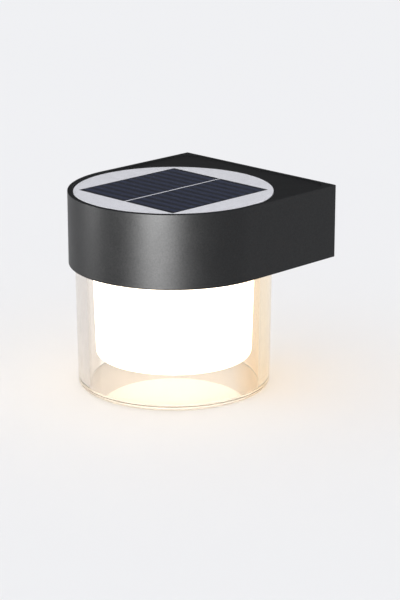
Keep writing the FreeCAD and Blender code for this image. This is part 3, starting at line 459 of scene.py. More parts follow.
def clear_glass(glass):
    """Polished pressed glass, slightly wavy, with a painted shade line round the foot and a faint painted
    glow. Lamps shine through it.
    """
    finish = Finish("clear_glass")
    place = finish.axes()
    outside = finish.outside()
    shade_line_half = 0.15 * MM
    shade_line_fade = 0.3 * MM
    shade_line_share = 0.8
    waves = finish.noise(22.0 * MM, detail=1.0, stretch=(1.0, 1.0, 0.4))
    # Painted glow: the glass gives off faint light of its own, standing in for lamp light that it scatters.
    body = finish.principled({
        "Base Color": glass_tone(finish, glass, place, outside), "Transmission Weight": 1.0,
        "IOR": glass.index, "Roughness": finish.ramp(waves, 0.0, 1.0, 0.0, 0.012),
        "Normal": finish.bump(waves, 0.004 * MM), "Emission Color": shade_of(glass.spill, 1.0),
        "Emission Strength": finish.math("MULTIPLY", outside, glass.spill_strength)})
    # Painted shade: a dark line round the foot, where its rounding meets the wall.
    off_shade_line = finish.math("ABSOLUTE", finish.math("SUBTRACT", place["Z"], glass.foot_round))
    shade_line = finish.math("MULTIPLY", finish.ramp(off_shade_line, shade_line_half + shade_line_fade, shade_line_half), outside)
    line = finish.principled({"Base Color": shade_of(glass.shade_line_tint, 1.0), "Roughness": 0.3})
    shade_line_cover = finish.math("MULTIPLY", shade_line, shade_line_share)
    body = finish.add("ShaderNodeMixShader", {0: shade_line_cover, 1: body, 2: line})[0]
    open_to_lamps = finish.add("ShaderNodeBsdfTransparent", {"Color": shade_of(glass.lamp_tint, 1.0)})[0]
    lamps = finish.add("ShaderNodeLightPath")["Is Shadow Ray"]
    return finish.end(finish.add("ShaderNodeMixShader", {0: lamps, 1: body, 2: open_to_lamps})[0])


def ground_foot(glass):
    """Ground underside of the glass, that light leaves softly."""
    finish = Finish("ground_foot")
    clouds = finish.noise(12.0 * MM)
    return finish.end(finish.principled({
        "Base Color": shade_of(glass.foot_tint, 1.0), "Transmission Weight": 1.0, "IOR": glass.index,
        "Roughness": finish.spread(clouds, 0.55, 0.65)}))


def lit_opal(diffuser):
    """Opal plastic lit from within, a little brighter near the LEDs than at its closed end."""
    finish = Finish("lit_opal")
    z = finish.axes()["Z"]
    height = finish.ramp(z, diffuser.bottom, diffuser.flange_low, smooth=True)
    cloud = finish.noise(18.0 * MM)
    level = finish.math("ADD", height, finish.math("MULTIPLY", cloud, 0.25), clamp=True)
    glow = finish.mix(level, shade_of(diffuser.glow, 0.9), shade_of(diffuser.glow, 1.0))
    return finish.end(finish.principled({
        "Base Color": (0.9, 0.89, 0.86, 1.0), "Roughness": finish.spread(cloud, 0.35, 0.42),
        "Emission Color": glow, "Emission Strength": diffuser.strength,
        "Normal": finish.bump(finish.noise(0.6 * MM), 0.004 * MM)}))


def moulded_black(base):
    """Black engineering plastic with a spark-eroded mould texture."""
    finish = Finish("moulded_black")
    pits = finish.add("ShaderNodeTexVoronoi", {"Vector": finish.place, "Scale": 1 / (0.55 * MM)})[0]
    patches = finish.noise(9.0 * MM, detail=3.0)
    tone = finish.mix(patches, shade_of(base, 0.85), shade_of(base, 1.2))
    return finish.end(finish.principled({
        "Base Color": tone, "Roughness": finish.ramp(pits, 0.0, 0.8, 0.62, 0.48),
        "Normal": finish.bump(pits, 0.02 * MM)}))


def plated_steel(name, base, roughness, tint):
    """Plated metal with fine drawn lines and a faint change of hue from the plating."""
    finish = Finish(name)
    hue = finish.noise(2.5 * MM)
    lines = finish.noise(0.25 * MM, stretch=(0.08, 1.0, 1.0))
    tone = finish.mix(hue, shade_of(base, 0.95), tint + (1.0,))
    return finish.end(finish.principled({
        "Base Color": tone, "Metallic": 1.0,
        "Roughness": finish.spread(lines, roughness - 0.06, roughness + 0.08),
        "Normal": finish.bump(lines, 0.003 * MM)}))


def foam():
    """Closed-cell foam."""
    finish = Finish("foam")
    cells = finish.add("ShaderNodeTexVoronoi", {"Vector": finish.place, "Scale": 1 / (0.3 * MM)})[0]
    tone = finish.mix(cells, (0.012, 0.012, 0.012, 1.0), (0.035, 0.035, 0.036, 1.0))
    return finish.end(finish.principled({"Base Color": tone, "Roughness": 0.9,
                                         "Normal": finish.bump(cells, 0.08 * MM)}))


def circuit_board(name, base, pad):
    """Solder mask over copper: tracks show as a slightly lighter pattern, with bright pads."""
    finish = Finish(name)
    tracks = finish.add("ShaderNodeTexBrick", {
        "Vector": finish.place, "Scale": 1 / (4.0 * MM), "Mortar Size": 0.03, "Mortar Smooth": 0.2,
        "Color1": shade_of(base, 1.0), "Color2": shade_of(base, 0.82), "Mortar": shade_of(base, 1.7)})
    dots = finish.add("ShaderNodeTexVoronoi", {"Vector": finish.place, "Scale": 1 / (3.5 * MM)})[0]
    is_pad = finish.math("LESS_THAN", dots, 0.12)
    tone = finish.mix(is_pad, tracks["Color"], pad + (1.0,))
    return finish.end(finish.principled({
        "Base Color": tone, "Roughness": finish.ramp(is_pad, 0.0, 1.0, 0.33, 0.25),
        "Normal": finish.bump(tracks["Fac"], 0.03 * MM)}))


def black_epoxy():
    """Moulded epoxy and black sleeves of the board's components."""
    return mottled("black_epoxy", (0.028, 0.028, 0.03), 0.5, 0.25 * MM, 0.01 * MM, patch=2.0 * MM)


def lead_sleeve(base):
    """Soft sleeve with a faint lengthwise streak."""
    finish = Finish("lead_sleeve")
    streaks = finish.noise(1.2 * MM, stretch=(1.0, 0.3, 1.0))
    tone = finish.mix(streaks, shade_of(base, 0.8), shade_of(base, 1.15))
    return finish.end(finish.principled({
        "Base Color": tone, "Roughness": finish.spread(streaks, 0.3, 0.42),
        "Normal": finish.bump(streaks, 0.01 * MM)}))


def battery_film(base):
    """Shrink film in two plain bands along the cell, with bare metal at the ends."""
    finish = Finish("battery_film")
    band_edge = 12.0 * MM
    film_end = 23.6 * MM
    x = finish.axes()["X"]
    band = finish.math("GREATER_THAN", x, band_edge)
    bare = finish.math("GREATER_THAN", finish.math("ABSOLUTE", x), film_end)
    wrinkle = finish.noise(1.6 * MM, detail=3.0, stretch=(0.3, 1.0, 1.0))
    film = finish.mix(band, shade_of(base, 1.0), (0.62, 0.62, 0.60, 1.0))
    tone = finish.mix(bare, film, (0.72, 0.71, 0.69, 1.0))
    return finish.end(finish.principled({
        "Base Color": tone, "Metallic": bare, "Roughness": finish.spread(wrinkle, 0.25, 0.38),
        "Normal": finish.bump(wrinkle, 0.01 * MM)}))


def led_phosphor(base):
    """Phosphor gel, lit, with a fine grain."""
    finish = Finish("led_phosphor")
    grains = finish.noise(0.2 * MM)
    tone = finish.mix(grains, shade_of(base, 0.9), shade_of(base, 1.05))
    return finish.end(finish.principled({"Base Color": tone, "Roughness": 0.35, "Emission Color": tone,
                                         "Emission Strength": 4.0}))


# ---- Meshes --------------------------------------------------------------------------------

def new_piece(name, mesh):
    """A linked object with its mesh."""
    piece = bpy.data.objects.new(name, mesh)
    bpy.context.scene.collection.objects.link(piece)
    return piece


def from_bmesh(name, work):
    """A linked object with a bmesh's faces. The bmesh is freed."""
    mesh = bpy.data.meshes.new(name)
    work.to_mesh(mesh)
    work.free()
    return new_piece(name, mesh)


def settle(piece):
    """Turns what the piece's modifiers make into its own plain mesh, and removes them."""
    made = piece.evaluated_get(bpy.context.evaluated_depsgraph_get())
    mesh = bpy.data.meshes.new_from_object(made)
    raw = piece.data
    piece.modifiers.clear()
    piece.data = mesh
    mesh.name = piece.name
    if raw.users == 0:
        bpy.data.meshes.remove(raw)
    return piece


def outward(piece):
    """Merges doubles and points every face outwards."""
    work = bmesh.new()
    work.from_mesh(piece.data)
    bmesh.ops.remove_doubles(work, verts=work.verts, dist=0.002 * MM)
    bmesh.ops.dissolve_degenerate(work, dist=0.001 * MM, edges=work.edges)
    bmesh.ops.recalc_face_normals(work, faces=work.faces)
    work.to_mesh(piece.data)
    work.free()
    return piece


def smooth(piece, sharp=SHARP_ANGLE):
    """Smooth shading, kept flat on the large faces and broken at real edges."""
    mesh = piece.data
    mesh.polygons.foreach_set("use_smooth", [True] * len(mesh.polygons))
    mesh.set_sharp_from_angle(angle=sharp)
    weighted = piece.modifiers.new("flat_faces", "WEIGHTED_NORMAL")
    weighted.keep_sharp = True
    weighted.weight = 90
    return settle(piece)


def finish_piece(piece, material, body, nodes):
    """Gives a piece its material, its body and the nodes it stands for."""
    piece.data.materials.clear()
    piece.data.materials.append(material)
    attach(piece, body)
    if nodes:
        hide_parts(*nodes)
    return piece


def skinned(name, rings):
    """Closed mesh through rings of points. A ring of one point closes an end."""
    work = bmesh.new()
    made = [[work.verts.new(point) for point in ring] for ring in rings]
    for near, far in zip(made, made[1:]):
        for i in range(max(len(near), len(far))):
            corners = (near[i % len(near)], near[(i + 1) % len(near)],
                       far[(i + 1) % len(far)], far[i % len(far)])
            work.faces.new(list(dict.fromkeys(corners)))
    return from_bmesh(name, work)


def soft_block(name, low, high, rounding, steps=2):
    """Block between two corners with rounded edges, for use as a tool or a small part."""
    work = bmesh.new()
    bmesh.ops.create_cube(work, size=1.0)
    size = Vector(high) - Vector(low)
    middle = (Vector(high) + Vector(low)) / 2
    bmesh.ops.scale(work, vec=size, verts=work.verts)
    bmesh.ops.translate(work, vec=middle, verts=work.verts)
    bmesh.ops.bevel(work, geom=work.edges[:] + work.verts[:], offset=rounding, segments=steps,
                    profile=0.5, affect="EDGES")
    return from_bmesh(name, work)


def joined(name, pieces):
    """One mesh from several pieces."""
    work = bmesh.new()
    for piece in pieces:
        work.from_mesh(piece.data)
        remove(piece)
    return from_bmesh(name, work)


def remove(piece):
    """Deletes a helper object and its mesh."""
    mesh = piece.data
    bpy.data.objects.remove(piece)
    if mesh.users == 0:
        bpy.data.meshes.remove(mesh)


def combine(piece, tool, operation):
    """Boolean of a piece with a tool, which is then deleted."""
    step = piece.modifiers.new(operation.lower(), "BOOLEAN")
    step.operation = operation
    step.solver = "MANIFOLD"
    step.object = tool
    settle(piece)
    remove(tool)
    return piece


def between(start, end, count):
    """count evenly spaced values from start to just before end."""
    return [start + (end - start) * i / count for i in range(count)]


def d_outline(half, back, corner):
    """Points of the head's D outline, anticlockwise seen from above, from its left side."""
    side = back - corner
    points = [(half * cos(t), half * sin(t)) for t in between(pi, 2 * pi, FRONT_STEPS)]
    points += [(half, y) for y in between(0, side, SIDE_STEPS)]
    points += [(half - corner + corner * cos(t), side + corner * sin(t))
               for t in between(0, pi / 2, CORNER_STEPS)]
    points += [(x, back) for x in between(half - corner, corner - half, BACK_STEPS)]
    points += [(corner - half + corner * cos(t), side + corner * sin(t))
               for t in between(pi / 2, pi, CORNER_STEPS)]
    points += [(-half, y) for y in between(side, 0, SIDE_STEPS)]
    return points


# ---- Geometry Nodes ------------------------------------------------------------------------

def new_tree(name, sockets):
    """Geometry tree with named inputs, given as (name, type, default) rows."""
    tree = bpy.data.node_groups.new(name, "GeometryNodeTree")
    face = tree.interface
    face.new_socket("Geometry", in_out="INPUT", socket_type="NodeSocketGeometry")
    for label, kind, default in sockets:
        socket = face.new_socket(label, in_out="INPUT", socket_type="NodeSocket" + kind)
        if default is not None:
            socket.default_value = default
    face.new_socket("Geometry", in_out="OUTPUT", socket_type="NodeSocketGeometry")
    return tree, Nodes(tree), tree.nodes.new("NodeGroupInput").outputs


def close_tree(nodes, geometry, material):
    """Ends a tree in Realize Instances and Set Material."""
    real = nodes.add("GeometryNodeRealizeInstances", {"Geometry": geometry})[0]
    painted = nodes.add("GeometryNodeSetMaterial", {"Geometry": real, "Material": material})[0]
    nodes.add("NodeGroupOutput", {0: painted})


def grow(piece, tree, values):
    """Runs a tree on a piece with values for its named inputs, and keeps the plain mesh."""
    step = piece.modifiers.new(tree.name, "NODES")
    step.node_group = tree
    for item in tree.interface.items_tree:
        if item.item_type == "SOCKET" and item.in_out == "INPUT" and item.name in values:
            step[item.identifier] = values[item.name]
    return settle(piece)


def lathe_tree():
    """Turns a profile of (radius, height) points about the Z axis, rounding its corners."""
    tree, nodes, given = new_tree("Turned Profile", [
        ("Segments", "Int", 128), ("Round Steps", "Int", 6), ("Sweep Radius", "Float", SWEEP_RADIUS),
        ("Material", "Material", None)])
    rounding = nodes.add("GeometryNodeInputNamedAttribute", {"Name": "rounding"}, data_type="FLOAT")[0]
    line = nodes.add("GeometryNodeMeshToCurve", {"Mesh": given["Geometry"]})[0]
    profile = nodes.add("GeometryNodeFilletCurve", {"Curve": line, "Count": given["Round Steps"],
                                                    "Radius": rounding, "Limit Radius": True},
                        mode="POLY")[0]
    circle = nodes.add("GeometryNodeCurvePrimitiveCircle", {"Resolution": given["Segments"],
                                                            "Radius": given["Sweep Radius"]})[0]
    swept = nodes.add("GeometryNodeCurveToMesh", {"Curve": circle, "Profile Curve": profile})[0]
    closed = nodes.add("GeometryNodeMergeByDistance", {"Geometry": swept, "Distance": 0.001 * MM})[0]
    close_tree(nodes, closed, given["Material"])
    return tree


def turned(name, corners, material=None, segments=128, round_steps=6):
    """Closed solid of revolution from (radius, height, rounding) rows that run axis to axis."""
    mesh = bpy.data.meshes.new(name)
    points = [(radius - SWEEP_RADIUS, -height, 0.0) for radius, height, _ in corners]
    mesh.from_pydata(points, [(i, i + 1) for i in range(len(points) - 1)], [])
    rounding = mesh.attributes.new("rounding", "FLOAT", "POINT")
    rounding.data.foreach_set("value", [row[2] for row in corners])
    piece = new_piece(name, mesh)
    tree = bpy.data.node_groups.get("Turned Profile") or lathe_tree()
    grow(piece, tree, {"Segments": segments, "Round Steps": round_steps,
                       "Sweep Radius": SWEEP_RADIUS, "Material": material})
    return outward(piece)


def ring_tree():
    """Copies of an object, evenly spaced round the Z axis."""
    tree, nodes, given = new_tree("Ring of Copies", [
        ("Count", "Int", 4), ("Start Angle", "Float", 0.0), ("Copy", "Object", None),
        ("Material", "Material", None)])
    line = nodes.add("GeometryNodeMeshLine", {"Count": given["Count"], "Offset": (0.0, 0.0, 0.0)})[0]
    index = nodes.add("GeometryNodeInputIndex")[0]
    step = nodes.math("DIVIDE", 2 * pi, given["Count"])
    turn = nodes.math("ADD", nodes.math("MULTIPLY", index, step), given["Start Angle"])
    rotation = nodes.add("FunctionNodeAxisAngleToRotation", {"Axis": (0.0, 0.0, 1.0), "Angle": turn})[0]
    copy = nodes.add("GeometryNodeObjectInfo", {"Object": given["Copy"]})["Geometry"]
    copies = nodes.add("GeometryNodeInstanceOnPoints", {"Points": line, "Instance": copy,
                                                        "Rotation": rotation})[0]
    close_tree(nodes, copies, given["Material"])
    return tree


def row_tree():
    """Copies of a small bar in an even row along Y, on both sides of X = 0."""
    tree, nodes, given = new_tree("Printed Fingers", [
        ("Count", "Int", 40), ("Pitch", "Float", 1.6 * MM), ("Length", "Float", 37.0 * MM),
        ("Width", "Float", 0.07 * MM), ("Thickness", "Float", 0.02 * MM), ("Gap", "Float", 1.1 * MM),
        ("Height", "Float", 0.0), ("Material", "Material", None)])
    first = nodes.math("MULTIPLY", nodes.math("SUBTRACT", 1.0, given["Count"]),
                       nodes.math("MULTIPLY", given["Pitch"], 0.5))
    middle = nodes.math("MULTIPLY", nodes.math("ADD", given["Gap"], given["Length"]), 0.5)
    bar = nodes.add("GeometryNodeMeshCube", {"Size": nodes.add("ShaderNodeCombineXYZ", {
        0: given["Length"], 1: given["Width"], 2: given["Thickness"]})[0]})[0]
    rows = []
    for side in (-1.0, 1.0):
        start = nodes.add("ShaderNodeCombineXYZ", {0: nodes.math("MULTIPLY", middle, side),
                                                   1: first, 2: given["Height"]})[0]
        offset = nodes.add("ShaderNodeCombineXYZ", {1: given["Pitch"]})[0]
        line = nodes.add("GeometryNodeMeshLine", {"Count": given["Count"], "Start Location": start,
                                                  "Offset": offset})[0]
        rows.append(nodes.add("GeometryNodeInstanceOnPoints", {"Points": line, "Instance": bar})[0])
    both = nodes.tree.nodes.new("GeometryNodeJoinGeometry")
    for row in rows:
        nodes.tree.links.new(row, both.inputs[0])
    close_tree(nodes, both.outputs[0], given["Material"])
    return tree


def places_tree():
    """One copy of an object at every given point, turned over if asked."""
    tree, nodes, given = new_tree("Fixings at Places", [
        ("Copy", "Object", None), ("Turn Over", "Float", 0.0), ("Material", "Material", None)])
    rotation = nodes.add("FunctionNodeAxisAngleToRotation", {"Axis": (1.0, 0.0, 0.0),
                                                             "Angle": given["Turn Over"]})[0]
    copy = nodes.add("GeometryNodeObjectInfo", {"Object": given["Copy"]})["Geometry"]
    copies = nodes.add("GeometryNodeInstanceOnPoints", {"Points": given["Geometry"], "Instance": copy,
                                                        "Rotation": rotation})[0]
    close_tree(nodes, copies, given["Material"])
    return tree


# ---- Head ----------------------------------------------------------------------------------

def level_or_sloping(points, height):
    """Points lifted to one height, or to a height that follows Y."""
    return [(x, y, height(y) if callable(height) else height) for x, y in points]


def head_ring(head, inset, height, back=None, corner=None):
    """The head's outline moved inwards, with its own rear edge and corners if given."""
    least_corner = 0.3 * MM
    rear = head.back - inset if back is None else back
    bend = max(head.back_corner - inset, least_corner) if corner is None else corner
    return level_or_sloping(d_outline(head.half_width - inset, rear, bend), height)


def head_circle(head, radius, height):
    """A circle with one point in the direction of each point of the outline."""
    turns = [atan2(y, x) for x, y in d_outline(head.half_width, head.back, head.back_corner)]
    return level_or_sloping([(radius * cos(t), radius * sin(t)) for t in turns], height)


def top_rings(head):
    """Rings from the middle of the pocket, over the sloping recess and up to the lip's top."""
    rise = (head.recess_front - head.recess_back) / (head.half_width + head.back)

    def recess_at(y):
        return head.top - head.recess_front + rise * (y + head.half_width)

    lip, edge, corner = head.lip_width, head.lip_edge, head.recess_corner
    back = head.back - lip
    pocket_floor = head.top - head.pocket_depth
    cove = 0.22 * MM
    cove_middle = 0.07 * MM
    rings = [
        [(0.0, 0.0, pocket_floor)],
        head_circle(head, head.pocket_radius, pocket_floor),
        head_circle(head, head.pocket_radius, lambda y: recess_at(y) - edge),
        head_circle(head, head.pocket_radius + edge, recess_at),
    ]
    for shrink, lift in ((cove, 0.0), (cove_middle, cove_middle), (0.0, cove)):
        rings.append(head_ring(head, lip + shrink, lambda y, lift=lift: recess_at(y) + lift,
                               back - shrink, corner - shrink))
    rings.append(head_ring(head, lip, head.top - edge, back, corner))
    rings.append(head_ring(head, lip - edge, head.top, back + edge, corner + edge))
    return rings


def side_rings(head):
    """Rings over the top edge, down the outside and round the bottom edge."""
    top_steps, bottom_steps = 7, 5
    rings = []
    for step in range(top_steps + 1):
        t = pi / 2 * step / top_steps
        rings.append(head_ring(head, head.top_round * (1 - sin(t)),
                               head.top - head.top_round * (1 - cos(t))))
    rings.append(head_ring(head, 0.0, head.top - 2 * head.top_round))
    rings.append(head_ring(head, 0.0, head.bottom + 3 * head.bottom_round))
    for step in range(bottom_steps + 1):
        t = pi / 2 * step / bottom_steps
        rings.append(head_ring(head, head.bottom_round * (1 - cos(t)),
                               head.bottom + head.bottom_round * (1 - sin(t))))
    return rings


def inner_rings(head):
    """Rings up the inside of the wall and across the ceiling to its middle."""
    wall, back = head.wall, head.back_wall_in
    chamfer = 0.2 * MM
    corner = 2.0 * MM
    ceiling = head.top - head.ceiling_depth
    under_pocket = head.top - head.pocket_depth - wall
    boss = head.half_width - wall - 0.1 * MM
    return [
        head_ring(head, wall - chamfer, head.bottom, back + chamfer, corner + chamfer),
        head_ring(head, wall, head.bottom + chamfer, back, corner),
        head_ring(head, wall, ceiling, back, corner),
        head_circle(head, boss, ceiling),
        head_circle(head, boss, under_pocket),
        [(0.0, 0.0, under_pocket)],
    ]


def head_cuts(head):
    """What is cut from the head: the hollow back and its two hook windows."""
    beyond = 4 * MM
    past_wall = 2 * MM
    hollow_low = (-head.hollow_half, head.back_wall_out, head.bottom - beyond)
    hollow_high = (head.hollow_half, head.back + beyond, head.top - head.ceiling_depth)
    tools = [soft_block("hollow", hollow_low, hollow_high, 0.8 * MM, 3)]
    for side in (-1, 1):
        middle = side * head.window_x
        low = (middle - head.window_half, head.back_wall_in - beyond, head.window_low)
        high = (middle + head.window_half, head.back_wall_out + past_wall, head.window_high)
        tools.append(soft_block("window", low, high, 0.4 * MM))
    return tools


def build_head(head):
    rings = top_rings(head) + side_rings(head) + inner_rings(head)
    piece = outward(skinned("head_moulding", rings))
    for tool in head_cuts(head):
        combine(piece, outward(tool), "DIFFERENCE")
    smooth(outward(piece))
    finish_piece(piece, anthracite_paint(head.paint), "light", ["head_shell"])


# ---- Solar panel ---------------------------------------------------------------------------

def build_disc(panel):
    disc = turned("panel_disc", [
        (0, panel.low, 0), (panel.radius, panel.low, 0.1 * MM),
        (panel.radius, panel.disc_top, 0.12 * MM), (0, panel.disc_top, 0)], segments=192)
    finish_piece(smooth(disc), silver_sheet(panel.silver), "light", ["panel_backing"])


def build_cells(panel):
    """Two half-cells sunk a little into the disc."""
    sunk = panel.disc_top - 0.3 * MM
    half, gap = panel.cell_half, panel.cell_gap / 2
    halves = [soft_block("half_cell", (left, -half, sunk), (right, half, panel.cell_top), 0.06 * MM)
              for left, right in ((-half, -gap), (gap, half))]
    cells = joined("cell_pair", halves)
    finish_piece(smooth(cells), silicon_cells(panel), "light", ["solar_cells"])


def build_fingers(panel):
    """Printed fingers that stop short of the gap between the cells."""
    printed = mottled("printed_silver", panel.finger, 0.45, 0.2 * MM, 0.002 * MM, patch=3 * MM, spread=0.15)
    thickness = 0.02 * MM
    margin = 0.6 * MM
    fingers = new_piece("cell_fingers", bpy.data.meshes.new("cell_fingers"))
    grow(fingers, row_tree(), {
        "Count": panel.fingers, "Pitch": 2 * panel.cell_half / panel.fingers,
        "Length": panel.cell_half - panel.cell_gap / 2 - margin, "Width": panel.finger_width,
        "Thickness": thickness, "Gap": panel.cell_gap + margin,
        "Height": panel.cell_top + thickness / 4, "Material": printed})
    finish_piece(outward(fingers), printed, "light", [])


def build_resin(panel):
    low = panel.disc_top + 0.02 * MM
    resin = turned("panel_resin", [
        (0, low, 0), (panel.radius, low, 0),
        (panel.radius, panel.resin_top, 0.3 * MM), (0, panel.resin_top, 0)], segments=192)
    finish_piece(smooth(resin), clear_resin(panel), "light", ["panel_cover"])


# ---- Glass and diffuser --------------------------------------------------------------------

def lug_block(glass):
    """One bayonet lug about the +X axis, as a block with curved faces."""
    inner = glass.neck_radius - 0.5 * MM
    half = glass.lug_span / 2
    low, high = glass.lug_low, glass.lug_low + glass.lug_height
    steps = 8
    turns = [half * (2 * i / steps - 1) for i in range(steps + 1)]
    work = bmesh.new()
    rows = [[work.verts.new((radius * cos(t), radius * sin(t), height)) for t in turns]
            for radius, height in ((inner, low), (glass.lug_radius, low),
                                   (glass.lug_radius, high), (inner, high))]
    for end in (0, -1):
        work.faces.new([row[end] for row in rows])
    for near, far in zip(rows, rows[1:] + rows[:1]):
        for i in range(steps):
            work.faces.new((near[i], near[i + 1], far[i + 1], far[i]))
    return outward(from_bmesh("lug", work))


def build_glass(glass):
    """The cup and its lugs in one, with a ground underside."""
    cup = turned("glass_body", [
        (0, 0, 0), (glass.foot_radius, 0, glass.foot_round),
        (glass.shoulder_radius, glass.shoulder, 0.6 * MM), (glass.neck_radius, glass.shoulder, 0),
        (glass.neck_radius, glass.top, 0.9 * MM), (glass.inner_top, glass.top, 0.9 * MM),
        (glass.inner_foot, glass.floor, glass.inner_round), (0, glass.floor, 0)],
        segments=256, round_steps=10)
    lug = lug_block(glass)
    lugs = new_piece("lugs", bpy.data.meshes.new("lugs"))
    grow(lugs, ring_tree(), {"Count": glass.lugs, "Start Angle": pi / glass.lugs, "Copy": lug,
                             "Material": None})
    remove(lug)
    combine(cup, outward(lugs), "UNION")
    smooth(outward(cup))
    finish_piece(cup, clear_glass(glass), "glass", ["glass_cup"])
    cup.data.materials.append(ground_foot(glass))
    underside = 0.02 * MM
    for face in cup.data.polygons:
        if face.center.z < underside:
            face.material_index = 1


def build_diffuser(diffuser):
    def radius_at(height):
        return diffuser.bottom_radius + (height - diffuser.bottom) * tan(diffuser.draft)

    flange_edge = 0.2 * MM
    inner_low = diffuser.bottom + diffuser.wall
    cup = turned("opal_cup", [
        (0, diffuser.bottom, 0), (radius_at(diffuser.bottom), diffuser.bottom, diffuser.rounding),
        (radius_at(diffuser.flange_low), diffuser.flange_low, 0.3 * MM),
        (diffuser.flange_radius, diffuser.flange_low, flange_edge),
        (diffuser.flange_radius, diffuser.top, flange_edge),
        (radius_at(diffuser.top) - diffuser.wall, diffuser.top, 0),
        (radius_at(inner_low) - diffuser.wall, inner_low, diffuser.rounding - diffuser.wall),
        (0, inner_low, 0)], segments=192, round_steps=10)
    finish_piece(smooth(cup), lit_opal(diffuser), "light", ["diffuser_cup"])


# ---- LEDs, screws and button ---------------------------------------------------------------

def build_leds(leds, white):
    """A ring of LEDs, each a white case with a yellow window that stands out below it."""
    across, along, middle = leds.across / 2, leds.along / 2, leds.ring_radius
    low = leds.base - leds.height
    window_share = 0.72
    window_along = 0.76 * along
    window_high = leds.base - leds.height * 0.4
    case = soft_block("case", (middle - across, -along, low), (middle + across, along, leds.base),
                      0.12 * MM)
    window = soft_block("window", (middle - across * window_share, -window_along, low - 0.02 * MM),
                        (middle + across * window_share, window_along, window_high), 0.1 * MM)
    tree = bpy.data.node_groups.get("Ring of Copies") or ring_tree()
    for name, copy, material, nodes in (("led_cases", case, white, ["led_chips"]),
                                        ("led_windows", window, led_phosphor(leds.phosphor), [])):
        ring = new_piece(name, bpy.data.meshes.new(name))
        grow(ring, tree, {"Count": leds.count, "Start Angle": pi / leds.count, "Copy": copy,
                          "Material": material})
        remove(copy)
        finish_piece(smooth(outward(ring)), material, "light", nodes)


def screw_model(screws, length_below):
    """Pan-head screw whose head hangs below the height zero, with a cross recess."""
    head, shank, tall = screws.head_radius, screws.shank_radius, screws.head_height
    piece = turned("screw", [
        (0, -tall, 0), (head, -tall, 0.7 * MM), (head, 0, 0.1 * MM), (shank, 0, 0),
        (shank, length_below, 0.4 * MM), (0, length_below, 0)], segments=32, round_steps=4)
    arm, half, deep = screws.recess_arm, screws.recess_half, screws.recess_depth
    for x, y in ((arm, half), (half, arm)):
        tool = soft_block("recess", (-x, -y, -tall - deep), (x, y, -tall + deep), 0.08 * MM, 1)
        combine(piece, outward(tool), "DIFFERENCE")
    return smooth(outward(piece))


def on_ring(radius, degrees, height):
    return radius * cos(radians(degrees)), radius * sin(radians(degrees)), height


def screw_sets():
    """Each set of screws: its node, its seats, its length, and whether it is turned over."""
    deck = 89.0 * MM
    rear_floor = 73.1 * MM
    collar_boss = deck + 1.6 * MM
    flange = deck - 1.8 * MM
    led_board = deck - 1.6 * MM
    control_board = 96.1 * MM
    board_middle = -12.0 * MM
    chassis = [(side * 51.0 * MM, 60.0 * MM, rear_floor) for side in (-1, 1)]
    chassis += [(side * 30.0 * MM, -38.0 * MM, collar_boss) for side in (-1, 1)]
    posts = [(across * 22.0 * MM, board_middle + along * 12.0 * MM, control_board)
             for across in (-1, 1) for along in (-1, 1)]
    return [
        ("chassis_screws", chassis, 10.0 * MM, False),
        ("diffuser_screws", [on_ring(50 * MM, a, flange) for a in (30, 150, 270)], 5.5 * MM, False),
        ("led_board_screws", [on_ring(36 * MM, a, led_board) for a in (90, 210, 330)], 5.5 * MM, False),
        ("board_screws", posts, 4.5 * MM, True),
    ]


def build_screws(screws):
    """Every set of screws is one mesh, made of copies at its places."""
    zinc = plated_steel("zinc_plate", tuple(screws.zinc), 0.32, (0.60, 0.58, 0.50))
    tree = places_tree()
    for node, places, reach, over in screw_sets():
        model = screw_model(screws, reach)
        mesh = bpy.data.meshes.new(node + "_set")
        mesh.from_pydata(places, [], [])
        piece = new_piece(node + "_set", mesh)
        grow(piece, tree, {"Copy": model, "Turn Over": pi if over else 0.0, "Material": zinc})
        remove(model)
        finish_piece(smooth(outward(piece)), zinc, "light", [node])


def build_button(hardware, rubber):
    """Soft button with a dished cap, the flange that keeps it in and a plunger for the switch."""
    low, high = BUTTON_LOW.z, BUTTON_HIGH.z
    cap, flange, plunger = hardware.button_radius, hardware.flange_radius, 1.5 * MM
    dish = low + 0.25 * MM
    flange_low = low + 3.7 * MM
    flange_high = flange_low + 1.0 * MM
    piece = turned("button_cap", [
        (0, dish, 0), (cap * 0.62, dish, 1.2 * MM), (cap * 0.8, low, 0.5 * MM), (cap, low, 0.6 * MM),
        (cap, flange_low, 0.1 * MM), (flange, flange_low, 0.15 * MM), (flange, flange_high, 0.15 * MM),
        (plunger, flange_high, 0.2 * MM), (plunger, high, 0.3 * MM), (0, high, 0)],
        segments=64, round_steps=4)
    piece.data.transform(Matrix.Translation((hardware.button_x, hardware.button_y, 0)))
    finish_piece(smooth(piece), rubber, "button", ["switch_button"])


# ---- Operators -----------------------------------------------------------------------------

def settings(name):
    return getattr(bpy.context.scene, "fence_light_" + name)


def paint_nodes(material, *names):
    """Gives carried-over CAD nodes their material."""
    for name in names:
        for place in frame["nodes"][name].material_slots:
            place.material = material


class FENCELIGHT_OT_head(bpy.types.Operator):
    """Build the D-shaped head with its rim, sloping recess, panel pocket and hollow back"""
    bl_idname = "fence_light.head"
    bl_label = "Head"

    def execute(self, context):
        build_head(settings("head"))
        return {"FINISHED"}


class FENCELIGHT_OT_panel(bpy.types.Operator):
    """Build the silver disc, the two cells with their fingers and the clear resin"""
    bl_idname = "fence_light.panel"
    bl_label = "Solar Panel"

    def execute(self, context):
        panel = settings("panel")
        build_disc(panel)
        build_cells(panel)
        build_fingers(panel)
        build_resin(panel)
        return {"FINISHED"}


class FENCELIGHT_OT_glass(bpy.types.Operator):
    """Build the thick clear cup with its bayonet lugs"""
    bl_idname = "fence_light.glass"
    bl_label = "Glass"

    def execute(self, context):
        build_glass(settings("glass"))
        return {"FINISHED"}


